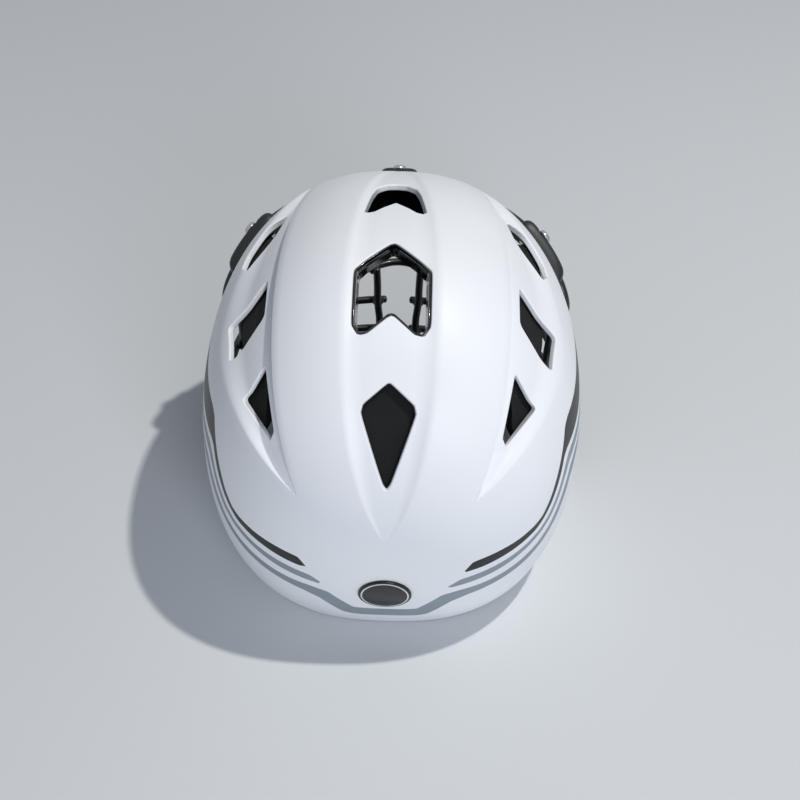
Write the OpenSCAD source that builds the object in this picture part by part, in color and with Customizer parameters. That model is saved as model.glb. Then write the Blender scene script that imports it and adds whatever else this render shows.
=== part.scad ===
// Helmet with a wire face mask for a softball pitcher, standing on its rim.
// Units are millimetres. The face looks along -Y, up is +Z, the rim plane is Z = 0.

/* [Shell] */
// Half of the shell's width at the ears
half_width = 108; // [102:0.5:114]
// Height of the ear axis above the rim
ear_height = 86; // [82:0.5:90]
// Distance of the ear axis behind the middle of the helmet
ear_back = 17.3; // [15.3:0.1:19.3]
// Control radius of the profile at the rear
rear_radius = 122.5; // [119:0.5:126]
// Control radius of the profile above the rear
upper_rear_radius = 139.5; // [136:0.5:143]
// Control radius of the profile at the crown
crown_radius = 127.5; // [124:0.5:131]
// Control radius of the profile ahead of the crown
fore_crown_radius = 134; // [131:0.5:137]
// Control radius of the profile at the brow
brow_radius = 132; // [129:0.5:135]
// Control radius of the profile in front of the jaw
jaw_radius = 165; // [160:1:170]
// Control radius of the profile under the ears
base_radius = 139; // [136:1:142]
// Control radius of the profile at the nape
nape_radius = 129; // [126:0.5:132]
// Exponent of the rounded-square cross-section
squareness = 2.5; // [2.35:0.05:2.65]
// Narrowing of the shell towards the face
front_taper = 0.04; // [0.02:0.01:0.06]
// Narrowing of the shell towards the crown
top_taper = 0.14; // [0.11:0.01:0.17]
// Thickness of the shell
wall = 3.6; // [3:0.1:4.2]

/* [Relief of the shell] */
// Depth of the sunk channel along each side
channel_depth = 4.5; // [3.5:0.25:5.5]
// Side angle of the sharp crease at its widest
crease_angle = 35; // [34:0.5:36]
// Side angle over which the crease steps down
crease_step = 0.8; // [0.6:0.1:1.2]
// Side angle of the channel's outer ridge at its widest
ridge_angle = 62; // [61:0.5:63]
// Depth of the shallow valley along the middle
valley_depth = 2.2; // [1.5:0.1:2.6]
// Side angle of the valley's edge at its widest
valley_angle = 12.2; // [11.5:0.1:12.9]

/* [Vents and openings] */
// Half width of the arrow-shaped vent
arrow_half = 20; // [18:0.5:21]
// Profile angle of the arrow-shaped vent's tip
arrow_tip = 80; // [79:0.5:81]
// Half width of the kite-shaped vent
kite_half = 14; // [12:0.5:16]
// Half width of the scoop vent ahead of the crown
scoop_half = 16.5; // [14:0.5:17]
// Height of the brow edge at the middle
brow_height = 150; // [147:0.5:152]
// Rise of the brow edge towards the front
brow_rise = 0.34; // [0.3:0.01:0.38]
// Distance from the ear axis to the cheek edge
cheek_edge = 56; // [54:0.5:58]
// Radius of the ear opening
ear_hole_r = 17; // [15:0.5:18]
// Height of the ear opening's centre
ear_hole_z = 78; // [76:0.5:80]

/* [Padding] */
// Thickness of the crown and side pads
pad_thick = 13; // [10:0.5:15]
// Thickness of the brow pad
brow_pad_thick = 20; // [16:0.5:22]
// Thickness of the pad behind the kite-shaped vent
rear_pad_thick = 10; // [8:0.5:12]
// Half width of the pad behind the kite-shaped vent
rear_pad_half = 22; // [20:0.5:24]
// Clearance between a pad and the shell
pad_gap = 0.8; // [0.7:0.05:1]

/* [Cage] */
// Diameter of the cage wire
wire_d = 5; // [4.5:0.25:5.5]
// Reach of the cage ahead of the ear axis
cage_reach = 150; // [146:0.5:154]
// How far the nose arch stands out
nose_bulge = 10; // [8:0.5:12]
// Height of the nose bar at the middle
nose_z = 70; // [67:0.5:73]
// Height of the mouth bar at the middle
mouth_z = 45; // [43:0.5:47]
// Height of the chin bar at the middle
chin_z = 23; // [21.5:0.5:24.5]
// Depth by which two crossing wires are welded into each other
weld = 0.3; // [0.2:0.05:0.4]
// Clearance between a wire and the shell
wire_gap = 0.5; // [0.4:0.05:0.7]

/* [Clips] */
// Height of a cage clip above the shell
clip_high = 7.2; // [7:0.1:8]
// Radius of a screw's shank
screw_r = 2.5; // [2.2:0.1:2.8]
// Radius of a screw's head
head_r = 4.2; // [3.9:0.1:4.5]
// Radius of the flange of a tee nut
nut_r = 6.5; // [6:0.1:7]

/* [Chin strap] */
// Distance of the strap studs ahead of the ear axis
stud_fore = 32; // [30:0.5:33]
// Height of the strap studs above the rim
stud_z = 20; // [19:0.5:22]
// Radius of a strap stud's pin
stud_r = 3; // [2.8:0.1:3.4]
// Running clearance of the strap's snaps on the studs
stud_gap = 0.06; // [0.02:0.01:0.1]
// Width of the webbing
web_wide = 18; // [16:0.5:19]
// Thickness of the webbing
web_thick = 2; // [1.6:0.1:2.4]
// Reach of the chin cup ahead of the ear axis
cup_reach = 126; // [123:0.5:128]
// Height of the chin cup
cup_high = 34; // [32:0.5:36]

/* [Badge] */
// Half width of the rear badge
badge_half = 14.4; // [12:0.4:16]
// Height of the badge's middle above the rim
badge_z = 51.5; // [49.5:0.5:53.5]

/* [Hidden] */

white = [0.93, 0.94, 0.95];
black = [0.03, 0.03, 0.035];
foam = [0.06, 0.06, 0.065];
steel = [0.72, 0.73, 0.75];
power = 2 / squareness;
wire_r = wire_d / 2;
controls = [rear_radius, upper_rear_radius, crown_radius, fore_crown_radius,
    brow_radius, jaw_radius, base_radius, nape_radius];

// Helpers
function smooth(t) = let (u = min(1, max(0, t))) u * u * (3 - 2 * u);
function signed(v, k) = sign(v) * pow(abs(v), k);
function unit(v) = v / norm(v);
function lerp(a, b, t) = a + (b - a) * t;

// Radius of the side profile at an angle, 0 at the rear, 90 at the crown
function radius_at(a) = let (t = (a + 720) / 45, i = floor(t), f = t - i)
    (pow(1 - f, 3) * controls[(i + 7) % 8]
    + (3 * pow(f, 3) - 6 * f * f + 4) * controls[i % 8]
    + (1 + 3 * f + 3 * f * f - 3 * pow(f, 3)) * controls[(i + 1) % 8]
    + pow(f, 3) * controls[(i + 2) % 8]) / 6;

// Lines of the relief, as side angles along the profile
function crease_at(a) = crease_angle - 0.0045 * pow(a - 74, 2);
function ridge_at(a) = ridge_angle - (a < 66 ? 0.0169 : 0.0095) * pow(a - 66, 2);
function valley_at(a) = valley_angle - 0.0033 * pow(a - 66, 2);

// Depth of the relief at a profile angle and a side angle
function channel(b, c, r) = let (w = r - c)
    w <= 0 || b <= c || b >= r ? 0
    : channel_depth * min(1, w / 12)
    * min(smooth((b - c) / crease_step), 1 - smooth(((b - c) / w - 0.55) / 0.45));
function valley(b, v) = v <= 0 || b >= v ? 0
    : valley_depth * min(1, v / 8) * smooth((v - b) / (0.45 * v));
function sunk(a, b, shift) = channel(b, crease_at(a) - shift, ridge_at(a))
    + valley(b, valley_at(a));

// Point of the shell's outer surface, moved outwards by rise
function skin(a, b, rise = 0, shift = 0) = let (
    r = radius_at(a),
    c = pow(max(0, cos(b)), power),
    y = r * c * cos(a),
    z = r * c * sin(a),
    w = 1 - front_taper * pow(max(-y, 0) / 120, 2)
        - top_taper * pow(max(z, 0) / 120, 2),
    p = [half_width * signed(sin(b), power) * w, y, z])
    p * (1 + (rise - sunk(a, abs(b), shift)) / norm(p)) + [0, 0, ear_height];

// Side angle at which the surface reaches a distance x from the middle plane
function side_of(a, x) = let (
    z = radius_at(a) * sin(a),
    w = 1 - top_taper * pow(max(z, 0) / 120, 2))
    sign(x) * asin(pow(min(1, abs(x) / (half_width * w)), 1 / power));

// Angles of the surface point with a given y and height
function angle_of(y, z) = atan2(z - ear_height, y);
function wrap(a) = a < -90 ? a + 360 : a;
function side_for(y, z) = let (a = angle_of(y, z))
    acos(min(1, pow(norm([y, z - ear_height]) / radius_at(a), 1 / power)));
function beside(y, z, rise) = skin(wrap(angle_of(y, z)), side_for(y, z), rise);

// Unit normal of the surface
function normal_at(a, b) = unit(cross(
    skin(a, b + 0.5) - skin(a, b - 0.5), skin(a + 0.5, b) - skin(a - 0.5, b)) * -1);

module placed() {
    translate([0, ear_back, 0]) children();
}

module mirrored(side) {
    if (side > 0) children();
    else mirror([1, 0, 0]) children();
}

// Stands children on a point with their Z axis along a direction
module aim(p, d) {
    translate(p)
        rotate([0, acos(d.z), atan2(d.y, d.x)])
            children();
}

// Closed surface of the shell
ring_count = 50;
col_count = 16;
function column(a, j, shift) = let (
    v = max(valley_at(a), 4),
    c = max(crease_at(a), 20) - shift,
    r = max(ridge_at(a), c + 7),
    e = 88 - r,
    s = [0, v * 0.55, v, lerp(v, c, 0.33), lerp(v, c, 0.67), c, c + crease_step,
        lerp(c, r, 0.3), lerp(c, r, 0.55), lerp(c, r, 0.77), r])
    j < 11 ? s[j] : r + e * (j - 10) / 6;

module skin_solid(rise, shift) {
    n = col_count;
    m = 2 * n + 1;
    points = concat(
        [for (i = [0 : ring_count - 1]) for (j = [-n : n])
            let (a = i * 360 / ring_count - 90)
            skin(a, (j < 0 ? -1 : 1) * column(a, abs(j), shift), rise, shift)],
        [skin(0, 90, rise), skin(0, -90, rise)]);
    function at(i, j) = (i % ring_count) * m + j + n;
    plus = ring_count * m;
    quads = [for (i = [0 : ring_count - 1]) for (j = [-n : n - 1])
        each [[at(i, j), at(i, j + 1), at(i + 1, j + 1)],
            [at(i, j), at(i + 1, j + 1), at(i + 1, j)]]];
    ends = [for (i = [0 : ring_count - 1])
        each [[at(i + 1, n), at(i, n), plus],
            [at(i, -n), at(i + 1, -n), plus + 1]]];
    polyhedron(points = points, faces = concat(quads, ends), convexity = 6);
}

// Rounds the corners of an outline given as angle pairs
function soft(list, k) = let (n = len(list))
    [for (i = [0 : n - 1]) let (
        p = list[i],
        q = lerp(p, list[(i + n - 1) % n], k),
        r = lerp(p, list[(i + 1) % n], k))
        each [q, (q + 2 * p + r) / 4, r]];

// Cutter with walls that run to the shell's centre
module cutter(list, low = 0.82, high = 1.1) {
    n = len(list);
    o = [0, 0, ear_height];
    base = [for (p = list) skin(p[0], p[1]) - o];
    points = concat([for (p = base) p * low + o], [for (p = base) p * high + o]);
    area = [for (i = [0 : n - 1]) let (p = list[i], q = list[(i + 1) % n])
        p[1] * q[0] - q[1] * p[0]];
    function total(v, i) = i < 0 ? 0 : v[i] + total(v, i - 1);
    turn = total(area, n - 1) > 0;
    walls = [for (i = [0 : n - 1]) let (k = (i + 1) % n) [k, i, n + i, n + k]];
    top = [[for (i = [0 : n - 1]) n + n - 1 - i]];
    bottom = [[for (i = [0 : n - 1]) i]];
    faces = concat(walls, top, bottom);
    flip = [for (f = faces) [for (k = [len(f) - 1 : -1 : 0]) f[k]]];
    polyhedron(points = points, faces = turn ? flip : faces, convexity = 4);
}

// Vent outlines as pairs of profile angle and side angle
function across(a, x) = [a, side_of(a, x)];
function both(half) = concat(half, [for (i = [len(half) - 1 : -1 : 0])
    if (abs(half[i][1]) > 0.01) [half[i][0], -half[i][1]]]);
arrow = both([[arrow_tip, 0], across(arrow_tip - 6.2, arrow_half * 0.76),
    across(arrow_tip - 8.8, arrow_half), across(57.2, arrow_half),
    across(54.8, arrow_half * 0.83), across(55.2, arrow_half * 0.6), [59.9, 0]]);
kite = both([[44.6, 0], across(39.6, kite_half * 0.92), across(37.6, kite_half),
    across(21, 2), [19.6, 0]]);
scoop = both([[107.4, 0], across(107, scoop_half * 0.34),
    across(105, scoop_half * 0.64), across(101, scoop_half * 0.79),
    across(96.5, scoop_half * 0.89), across(91.4, scoop_half),
    across(92, scoop_half * 0.69), across(93.7, scoop_half * 0.45), [96.4, 0]]);
slit = [[113, 36.6], [103.5, 40.6], [91.8, 51.9], [95.5, 54], [101.5, 51.8], [108.5, 43.4]];
window = [[78.4, 41.5], [64.2, 40.6], [52, 53.8], [67.2, 57.7]];
wedge = [[48.8, 37], [39.3, 44.6], [29, 32], [31.6, 30.8]];

module face_opening() {
    e = cheek_edge;
    side = [[-260, brow_height + brow_rise * 143], [-e - 22, brow_height - brow_rise * 39],
        [-e - 12, brow_height - 19], [-e - 5, brow_height - 28], [-e - 2, 104],
        [-e, 88], [-e + 3, 60], [-e + 8, 34], [-e + 14, 18], [-e + 17, -20],
        [-260, -20]];
    rotate([90, 0, 90])
        linear_extrude(height = 400, center = true)
            polygon(side);
}

// Screws: name of the place, profile angle, side angle
fore_a = wrap(angle_of(-103, 170));
temple_a = wrap(angle_of(-70.2, 150));
temple_b = side_for(-70.2, 150);
jaw_y = -29;
jaw_screw_z = 48;
jaw_a = wrap(angle_of(jaw_y, jaw_screw_z));
jaw_b = side_for(jaw_y, jaw_screw_z);

module screw_axes() {
    aim(skin(fore_a, 0), normal_at(fore_a, 0)) children();
    for (s = [-1, 1]) {
        aim(skin(temple_a, s * temple_b), normal_at(temple_a, s * temple_b)) children();
        aim(skin(jaw_a, s * jaw_b), normal_at(jaw_a, s * jaw_b)) children();
    }
}

stud_p = beside(-stud_fore, stud_z, 0);

module shell() {
    placed() color(white)
        resize([0, 0, 0])
            difference() {
                skin_solid(0, 0);
                skin_solid(-wall, 1.3);
                translate([-200, -200, -100]) cube([400, 400, 100]);
                face_opening();
                cutter(soft(arrow, 0.12));
                cutter(soft(kite, 0.1));
                cutter(soft(scoop, 0.12));
                for (s = [-1, 1]) {
                    cutter(soft([for (p = slit) [p[0], s * p[1]]], 0.12));
                    cutter(soft([for (p = window) [p[0], s * p[1]]], 0.1));
                    cutter(soft([for (p = wedge) [p[0], s * p[1]]], 0.08));
                    translate([s * half_width, 0, ear_hole_z])
                        rotate([0, 90, 0])
                            cylinder(h = 60, r = ear_hole_r, center = true, $fn = 40);
                    translate([s * stud_p.x, -stud_fore, stud_z])
                        rotate([0, 90, 0])
                            cylinder(h = 30, r = stud_r + 0.4, center = true, $fn = 24);
                }
                screw_axes()
                    cylinder(h = 30, r = screw_r + 0.3, center = true, $fn = 24);
            }
}

// Slab with rounded corners that follows the shell between two distances
module pod(fc, tc, fa, ta, low, high, square = 4, mm = false, edge = 1,
        rings = 5, segs = 28) {
    out = max(low, high);
    inn = min(low, high);
    function place(q, k) = let (
        al = k * 360 / segs,
        a = fc + fa * q * signed(cos(al), 2 / square),
        x = tc + ta * q * signed(sin(al), 2 / square))
        [a, mm ? side_of(a, x) : x];
    function rise_at(q, free) = lerp(free ? low : high, free ? high : low,
        1 - (1 - edge) * pow(q, 4));
    function layer(outer) = concat(
        [let (c = place(0, 0)) skin(c[0], c[1], outer ? out : inn, 1.3)],
        [for (r = [1 : rings]) for (k = [0 : segs - 1]) let (
            q = r / rings,
            c = place(q, k),
            free = outer == (high > low),
            rise = free ? rise_at(q, true) : low)
            skin(c[0], c[1], rise, 1.3)]);
    count = 1 + rings * segs;
    function at(r, k) = r == 0 ? 0 : 1 + (r - 1) * segs + (k % segs);
    outer_faces = [for (k = [0 : segs - 1]) each concat(
        [[0, at(1, k + 1), at(1, k)]],
        [for (r = [1 : rings - 1]) each [[at(r, k), at(r, k + 1), at(r + 1, k + 1)],
            [at(r, k), at(r + 1, k + 1), at(r + 1, k)]]])];
    inner_faces = [for (f = outer_faces) [f[2] + count, f[1] + count, f[0] + count]];
    walls = [for (k = [0 : segs - 1]) each [
        [at(rings, k), at(rings, k + 1), at(rings, k + 1) + count],
        [at(rings, k), at(rings, k + 1) + count, at(rings, k) + count]]];
    polyhedron(points = concat(layer(true), layer(false)),
        faces = concat(outer_faces, inner_faces, walls), convexity = 4);
}

// Tube along a list of points, framed by the direction away from the middle
module tube(path, r, sides = 8) {
    n = len(path);
    hub = [0, -20, ear_height];
    function along(i) = unit(path[min(n - 1, i + 1)] - path[max(0, i - 1)]);
    points = [for (i = [0 : n - 1]) let (
        t = along(i),
        u = unit(cross(t, path[i] - hub)),
        v = cross(u, t))
        for (k = [0 : sides - 1]) let (al = (k + 0.5) * 360 / sides)
            path[i] + r * (cos(al) * u + sin(al) * v)];
    walls = [for (i = [0 : n - 2]) for (k = [0 : sides - 1]) let (
        a = i * sides + k,
        b = i * sides + (k + 1) % sides)
        each [[a, b, b + sides], [a, b + sides, a + sides]]];
    caps = [[for (k = [0 : sides - 1]) sides - 1 - k],
        [for (k = [0 : sides - 1]) (n - 1) * sides + k]];
    polyhedron(points = points, faces = concat(walls, caps), convexity = 8);
}

// Smooth path through points
function curve(p, steps) = let (n = len(p)) concat(
    [for (i = [0 : n - 2]) for (k = [0 : steps - 1]) let (
        t = k / steps,
        a = p[max(0, i - 1)],
        b = p[i],
        c = p[i + 1],
        d = p[min(n - 1, i + 2)])
        (2 * b + (c - a) * t + (2 * a - 5 * b + 4 * c - d) * t * t
        + (3 * b - a - 3 * c + d) * t * t * t) / 2],
    [p[n - 1]]);
function flipped(p) = [-p.x, p.y, p.z];
function whole(half) = concat(half,
    [for (i = [len(half) - 2 : -1 : 0]) flipped(half[i])]);

// Surface of the cage: t runs from 0 at the cheek to 90 in front
side_y = -54;
bow = 0.9;
function reach_at(z) = cage_reach - 0.0034 * pow(z - 52, 2);
function nose_at(x, z) = abs(x) > 30 ? 0
    : nose_bulge * pow(cos(90 * x / 30), 2) * smooth((z - 42) / 24);
function cage_raw(t, z) = let (
    w = beside(side_y, min(z, 132), wire_r + wire_gap).x,
    x = w * pow(max(0, cos(t)), bow),
    y = side_y - (reach_at(z) + side_y) * pow(max(0, sin(t)), bow))
    [x, y - nose_at(x, z), z];
function cage(t, z, inset = 0) = let (
    p = cage_raw(t, z),
    g = cage_raw(min(90, t + 1), z) - cage_raw(max(0, t - 1), z),
    n = t > 89.5 ? [0, 1, 0] : unit([g.y, -g.x, 0]))
    p + inset * n;
function bar(side_z, front_z) = [for (t = [0, 4, 9, 16, 24, 32, 40, 48, 56, 63, 69,
    73, 76, 79, 82, 85, 88, 90])
    cage(t, lerp(side_z, front_z, pow(sin(t), bow)))];
inner = wire_d - weld;
function lay(y, z) = beside(y, z, wire_r + wire_gap);

// The path with its first end drawn out, for the pocket around a wire
function longer(p) = concat([p[0] + 0.6 * unit(p[0] - p[1])], p);

module wire(path) {
    placed() color(black) tube(path, wire_r);
}

foot_z = 3.4;
cheek_path = concat(
    [lay(-76, 144.8), lay(-70, 139.3), lay(-64, 134), lay(-58.5, 128), lay(-55.5, 121.5),
        lay(-55.5, 114.5), beside(-59, 107, wire_r + wire_gap - 0.2)],
    [for (p = [[8, 99], [12.5, 90.5], [15.5, 79], [16, 62], [16, 45],
        [19, 29], [27, 15], [39, 7.5], [54, 4.5], [72, 3.6], [90, foot_z]])
        cage(p[0], p[1], inner)]);

// Point of the surface at a side angle, on the brow wire's slanted plane
brow_wire_z = 149.5;
function brow_gap(a, b) = let (p = skin(a, b)) p.z - brow_wire_z + 0.26 * (p.y + 76);
function seek(b, lo, hi, n) = n == 0 ? (lo + hi) / 2 : let (m = (lo + hi) / 2)
    brow_gap(m, b) > 0 ? seek(b, m, hi, n - 1) : seek(b, lo, m, n - 1);
brow_path = [for (b = [47.5, 43, 39, 35, 31, 27, 22.5, 18, 13.5, 9, 5, 2, 0])
    skin(seek(b, 100, 175, 16), b, wire_r + wire_gap)];

module cage_perimeter_wire() {
    wire(whole(curve(cheek_path, 2)));
}

module cage_brow_wire() {
    wire(whole(brow_path));
}

module cage_nose_bar() {
    half = bar(nose_z - 20, nose_z);
    wire(whole([for (i = [2 : len(half) - 1]) half[i]]));
}

// Half of a bar that ends just past the upright
function side_bar(side_z, front_z) = let (p = bar(side_z, front_z)) concat(
    [for (q = p) if (q.x > 10) q],
    [let (k = len([for (q = p) if (q.x > 10) q])) lerp(p[k - 1], p[k], 0.4)]);

mouth_side_z = 38;
module cage_mouth_bar_left() {
    wire(concat([for (y = [-17, -27, -37, -46]) lay(y, mouth_side_z)],
        side_bar(mouth_side_z, mouth_z)));
}

module cage_mouth_bar_right() {
    mirror([1, 0, 0]) cage_mouth_bar_left();
}

module cage_chin_bar_left() {
    half = side_bar(chin_z, chin_z);
    wire([for (i = [2 : len(half) - 1]) half[i]]);
}

module cage_chin_bar_right() {
    mirror([1, 0, 0]) cage_chin_bar_left();
}

// Upright bar behind the crossing bars, a little closer together below
function upright(x, z) = let (w = cage_raw(0, z).x)
    cage(acos(pow(x / w, 1 / bow)), z, inner);
module centre_bar() {
    wire([for (i = [0 : 9]) let (z = lerp(nose_z + 1, foot_z + wire_r - weld, i / 9))
        upright(lerp(17, 12.5, smooth(i / 6)), z)]);
}

module cage_centre_bar_left() {
    centre_bar();
}

module cage_centre_bar_right() {
    mirror([1, 0, 0]) centre_bar();
}

// Screws, tee nuts and clips
module screw_hole() {
    cylinder(h = 60, r = screw_r + 0.2, center = true);
    translate([0, 0, clip_high - 0.8]) cylinder(h = 20, r = head_r + 0.3);
}

module clip_screws() {
    placed() color(steel)
        screw_axes() {
            translate([0, 0, -wall - 5]) cylinder(h = wall + 5 + clip_high, r = screw_r);
            translate([0, 0, clip_high - 0.6])
                difference() {
                    cylinder(h = 2.6, r = head_r);
                    translate([0, 0, 1.6]) cylinder(h = 2, r = 1.9, $fn = 6);
                }
        }
}

module tee_nuts() {
    placed() color(steel)
        screw_axes()
            difference() {
                union() {
                    translate([0, 0, -wall - 2.8]) cylinder(h = 1.5, r = nut_r);
                    translate([0, 0, -wall - 5]) cylinder(h = 3, r = screw_r + 1.6);
                }
                cylinder(h = 40, r = screw_r + 0.05, center = true);
            }
}

module clip_body(a, b, fa, ta) {
    pod(a, b, fa, ta, 0.3, clip_high, square = 5, edge = 0.7, rings = 3, segs = 20);
}

module forehead_clip() {
    a = fore_a + 3.2;
    placed() color(black)
        difference() {
            pod(a, 0, 6.4, 12, 0.3, clip_high, square = 5, mm = true, edge = 0.75,
                rings = 3, segs = 20);
            tube([for (p = whole(brow_path)) if (abs(p.x) < 45) p], wire_r + 0.15);
            aim(skin(fore_a, 0), normal_at(fore_a, 0)) screw_hole();
        }
}

module temple_clip_left() {
    placed() color(black)
        difference() {
            clip_body(wrap(angle_of(-66.5, 143.5)), side_for(-66.5, 143.5) - 1.25, 6.2, 10.75);
            tube(longer([for (p = brow_path) if (p.x > 60) p]), wire_r + 0.15);
            tube(longer([for (p = curve(cheek_path, 2)) if (p.z > 104) p]), wire_r + 0.15);
            aim(skin(temple_a, temple_b), normal_at(temple_a, temple_b)) screw_hole();
        }
}

module jaw_clip_left() {
    placed() color(black)
        difference() {
            clip_body(wrap(angle_of(-28, 43)), side_for(-28, 43), 12, 4.6);
            tube([for (y = [-10, -17, -27, -37, -46]) lay(y, mouth_side_z)], wire_r + 0.15);
            aim(skin(jaw_a, jaw_b), normal_at(jaw_a, jaw_b)) screw_hole();
        }
}

module temple_clip_right() {
    mirror([1, 0, 0]) temple_clip_left();
}

module jaw_clip_right() {
    mirror([1, 0, 0]) jaw_clip_left();
}

// Padding against the inside of the shell
near = -wall - pad_gap;
kite_back = 33;
module pad(fc, tc, fa, ta, thick, seat = near) {
    pod(fc, tc, fa, ta, seat, seat - thick, edge = 0.6);
}

module brow_pad() {
    placed() color(foam)
        difference() {
            pad(fore_a - 1.14, 0, 10.5, 30, brow_pad_thick, near - 1.0);
            aim(skin(fore_a, 0), normal_at(fore_a, 0))
                translate([0, 0, -wall - 9]) cylinder(h = 20, r = nut_r + 1.2);
        }
}

module crown_pad_left() {
    placed() color(foam) pad(85, 20, 28, 6.5, pad_thick);
}

module side_pad_left() {
    placed() color(foam) pad(82, 46.5, 25, 8, pad_thick, near - 0.3);
}

module rear_pad_left() {
    placed() color(foam) pad(38, 43.5, 12, 6.5, pad_thick, near - 0.8);
}

module rear_centre_pad() {
    placed() color(foam)
        pod(kite_back, 0, 14.5, rear_pad_half, near - 0.2, near - 0.2 - rear_pad_thick,
            mm = true, edge = 0.6);
}

module nape_pad() {
    placed() color(foam) pad(-6, 0, 17, 26, pad_thick);
}

module jaw_pad_left() {
    placed() color(foam) pad(277, 75.5, 23, 4.2, pad_thick);
}

module crown_pad_right() {
    mirror([1, 0, 0]) crown_pad_left();
}

module side_pad_right() {
    mirror([1, 0, 0]) side_pad_left();
}

module rear_pad_right() {
    mirror([1, 0, 0]) rear_pad_left();
}

module jaw_pad_right() {
    mirror([1, 0, 0]) jaw_pad_left();
}

// Insert that lines the arrow-shaped vent
arc_mm = 2.27;
function shrink(list, d) = let (n = len(list),
    p = [for (v = list) [v[0] * arc_mm, v[1]]],
    q = [for (i = [0 : n - 1]) let (
        e = unit(p[i] - p[(i + n - 1) % n]),
        f = unit(p[(i + 1) % n] - p[i]),
        g = [e.y, -e.x],
        h = [f.y, -f.x])
        p[i] - (g + h) / (1 + g * h) * d])
    [for (v = q) [v.x / arc_mm, v.y]];
function flat_outline(list) = [for (v = list) [v[0], skin(v[0], v[1]).x]];

module vent_bezel() {
    base = flat_outline(soft(arrow, 0.12));
    outer = [for (v = shrink(base, 0.3)) across(v[0], v[1])];
    lining = [for (v = shrink(base, 1.2)) across(v[0], v[1])];
    n = len(base);
    points = concat(
        [for (v = outer) skin(v[0], v[1], 0.1)],
        [for (v = outer) skin(v[0], v[1], -9)],
        [for (v = lining) skin(v[0], v[1], -9)],
        [for (v = lining) skin(v[0], v[1], 0.1)]);
    faces = [for (r = [0 : 3]) for (i = [0 : n - 1]) let (
        k = (i + 1) % n,
        s = (r + 1) % 4)
        each [[r * n + k, r * n + i, s * n + i], [r * n + k, s * n + i, s * n + k]]];
    placed() color(black) polyhedron(points = points, faces = faces, convexity = 4);
}

rear_mm = 2.17;
module rear_badge() {
    placed() color(black)
        pod(angle_of(121, badge_z), 0, badge_half / rear_mm, badge_half, 0.3, 1.6, square = 2,
            mm = true, edge = 0.6, rings = 3, segs = 32);
}

// Chin strap
snap_seat = 3.5;
web_x = stud_p.x - wall - snap_seat - 1.6;
module along_x(x, y, z) {
    translate([x, y, z]) rotate([0, 90, 0]) children();
}

module strap_studs() {
    placed() color(steel)
        for (s = [0, 1]) mirror([s, 0, 0])
            union() {
                along_x(web_x - 2.8, -stud_fore, stud_z)
                    cylinder(h = stud_p.x + 4.8 - web_x, r = stud_r);
                along_x(stud_p.x + 1.5, -stud_fore, stud_z)
                    cylinder(h = 1.6, r = stud_r + 1.8);
                along_x(web_x - 3.1, -stud_fore, stud_z)
                    cylinder(h = 1.2, r = stud_r + 1.8);
            }
}

module strap_snaps() {
    placed() color(black)
        for (s = [0, 1]) mirror([s, 0, 0])
            along_x(web_x - 1.6, -stud_fore, stud_z)
                difference() {
                    cylinder(h = 3.2, r = 8.5);
                    translate([0, 0, -1]) cylinder(h = 6, r = stud_r + stud_gap);
                }
}

function cup_y(x, z) = -cup_reach + 0.0105 * x * x + 0.012 * pow(z - stud_z, 2);
web_run = concat(curve([[web_x - 0.4, -stud_fore - 4], [web_x - 2.6, -48],
    [web_x - 9, -66], [72, -86], [55, -103], [42, cup_y(42, stud_z) - 1.6]], 3),
    [for (x = [37, 32, 27]) [x, cup_y(x, stud_z) - web_thick / 2 - 0.4]]);

module strap_webbing_left() {
    n = len(web_run);
    h = web_wide / 2;
    function side(i, s) = let (
        t = unit(web_run[min(n - 1, i + 1)] - web_run[max(0, i - 1)]))
        web_run[i] + s * web_thick / 2 * [t.y, -t.x];
    points = [for (i = [0 : n - 1]) let (a = side(i, 1), b = side(i, -1))
        each [[a.x, a.y, stud_z - h], [b.x, b.y, stud_z - h],
            [b.x, b.y, stud_z + h], [a.x, a.y, stud_z + h]]];
    faces = concat(
        [for (i = [0 : n - 2]) for (k = [0 : 3]) let (
            a = 4 * i + k,
            b = 4 * i + (k + 1) % 4)
            each [[a, b + 4, b], [a, a + 4, b + 4]]],
        [[0, 1, 2, 3], [4 * n - 1, 4 * n - 2, 4 * n - 3, 4 * n - 4]]);
    placed() color(black)
        difference() {
            polyhedron(points = points, faces = faces, convexity = 4);
            along_x(web_x - 5, -stud_fore, stud_z) cylinder(h = 10, r = 8.7);
        }
}

module strap_webbing_right() {
    mirror([1, 0, 0]) strap_webbing_left();
}

slide_p = web_run[6];
slide_turn = let (t = web_run[7] - web_run[5]) atan2(t.y, t.x);
module strap_slides() {
    placed() color(black)
        for (s = [0, 1]) mirror([s, 0, 0])
            translate([slide_p.x, slide_p.y, stud_z]) rotate([0, 0, slide_turn])
                difference() {
                    cube([12, web_thick + 3.6, web_wide + 6], center = true);
                    cube([20, web_thick + 1.2, web_wide + 1], center = true);
                }
}

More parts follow.
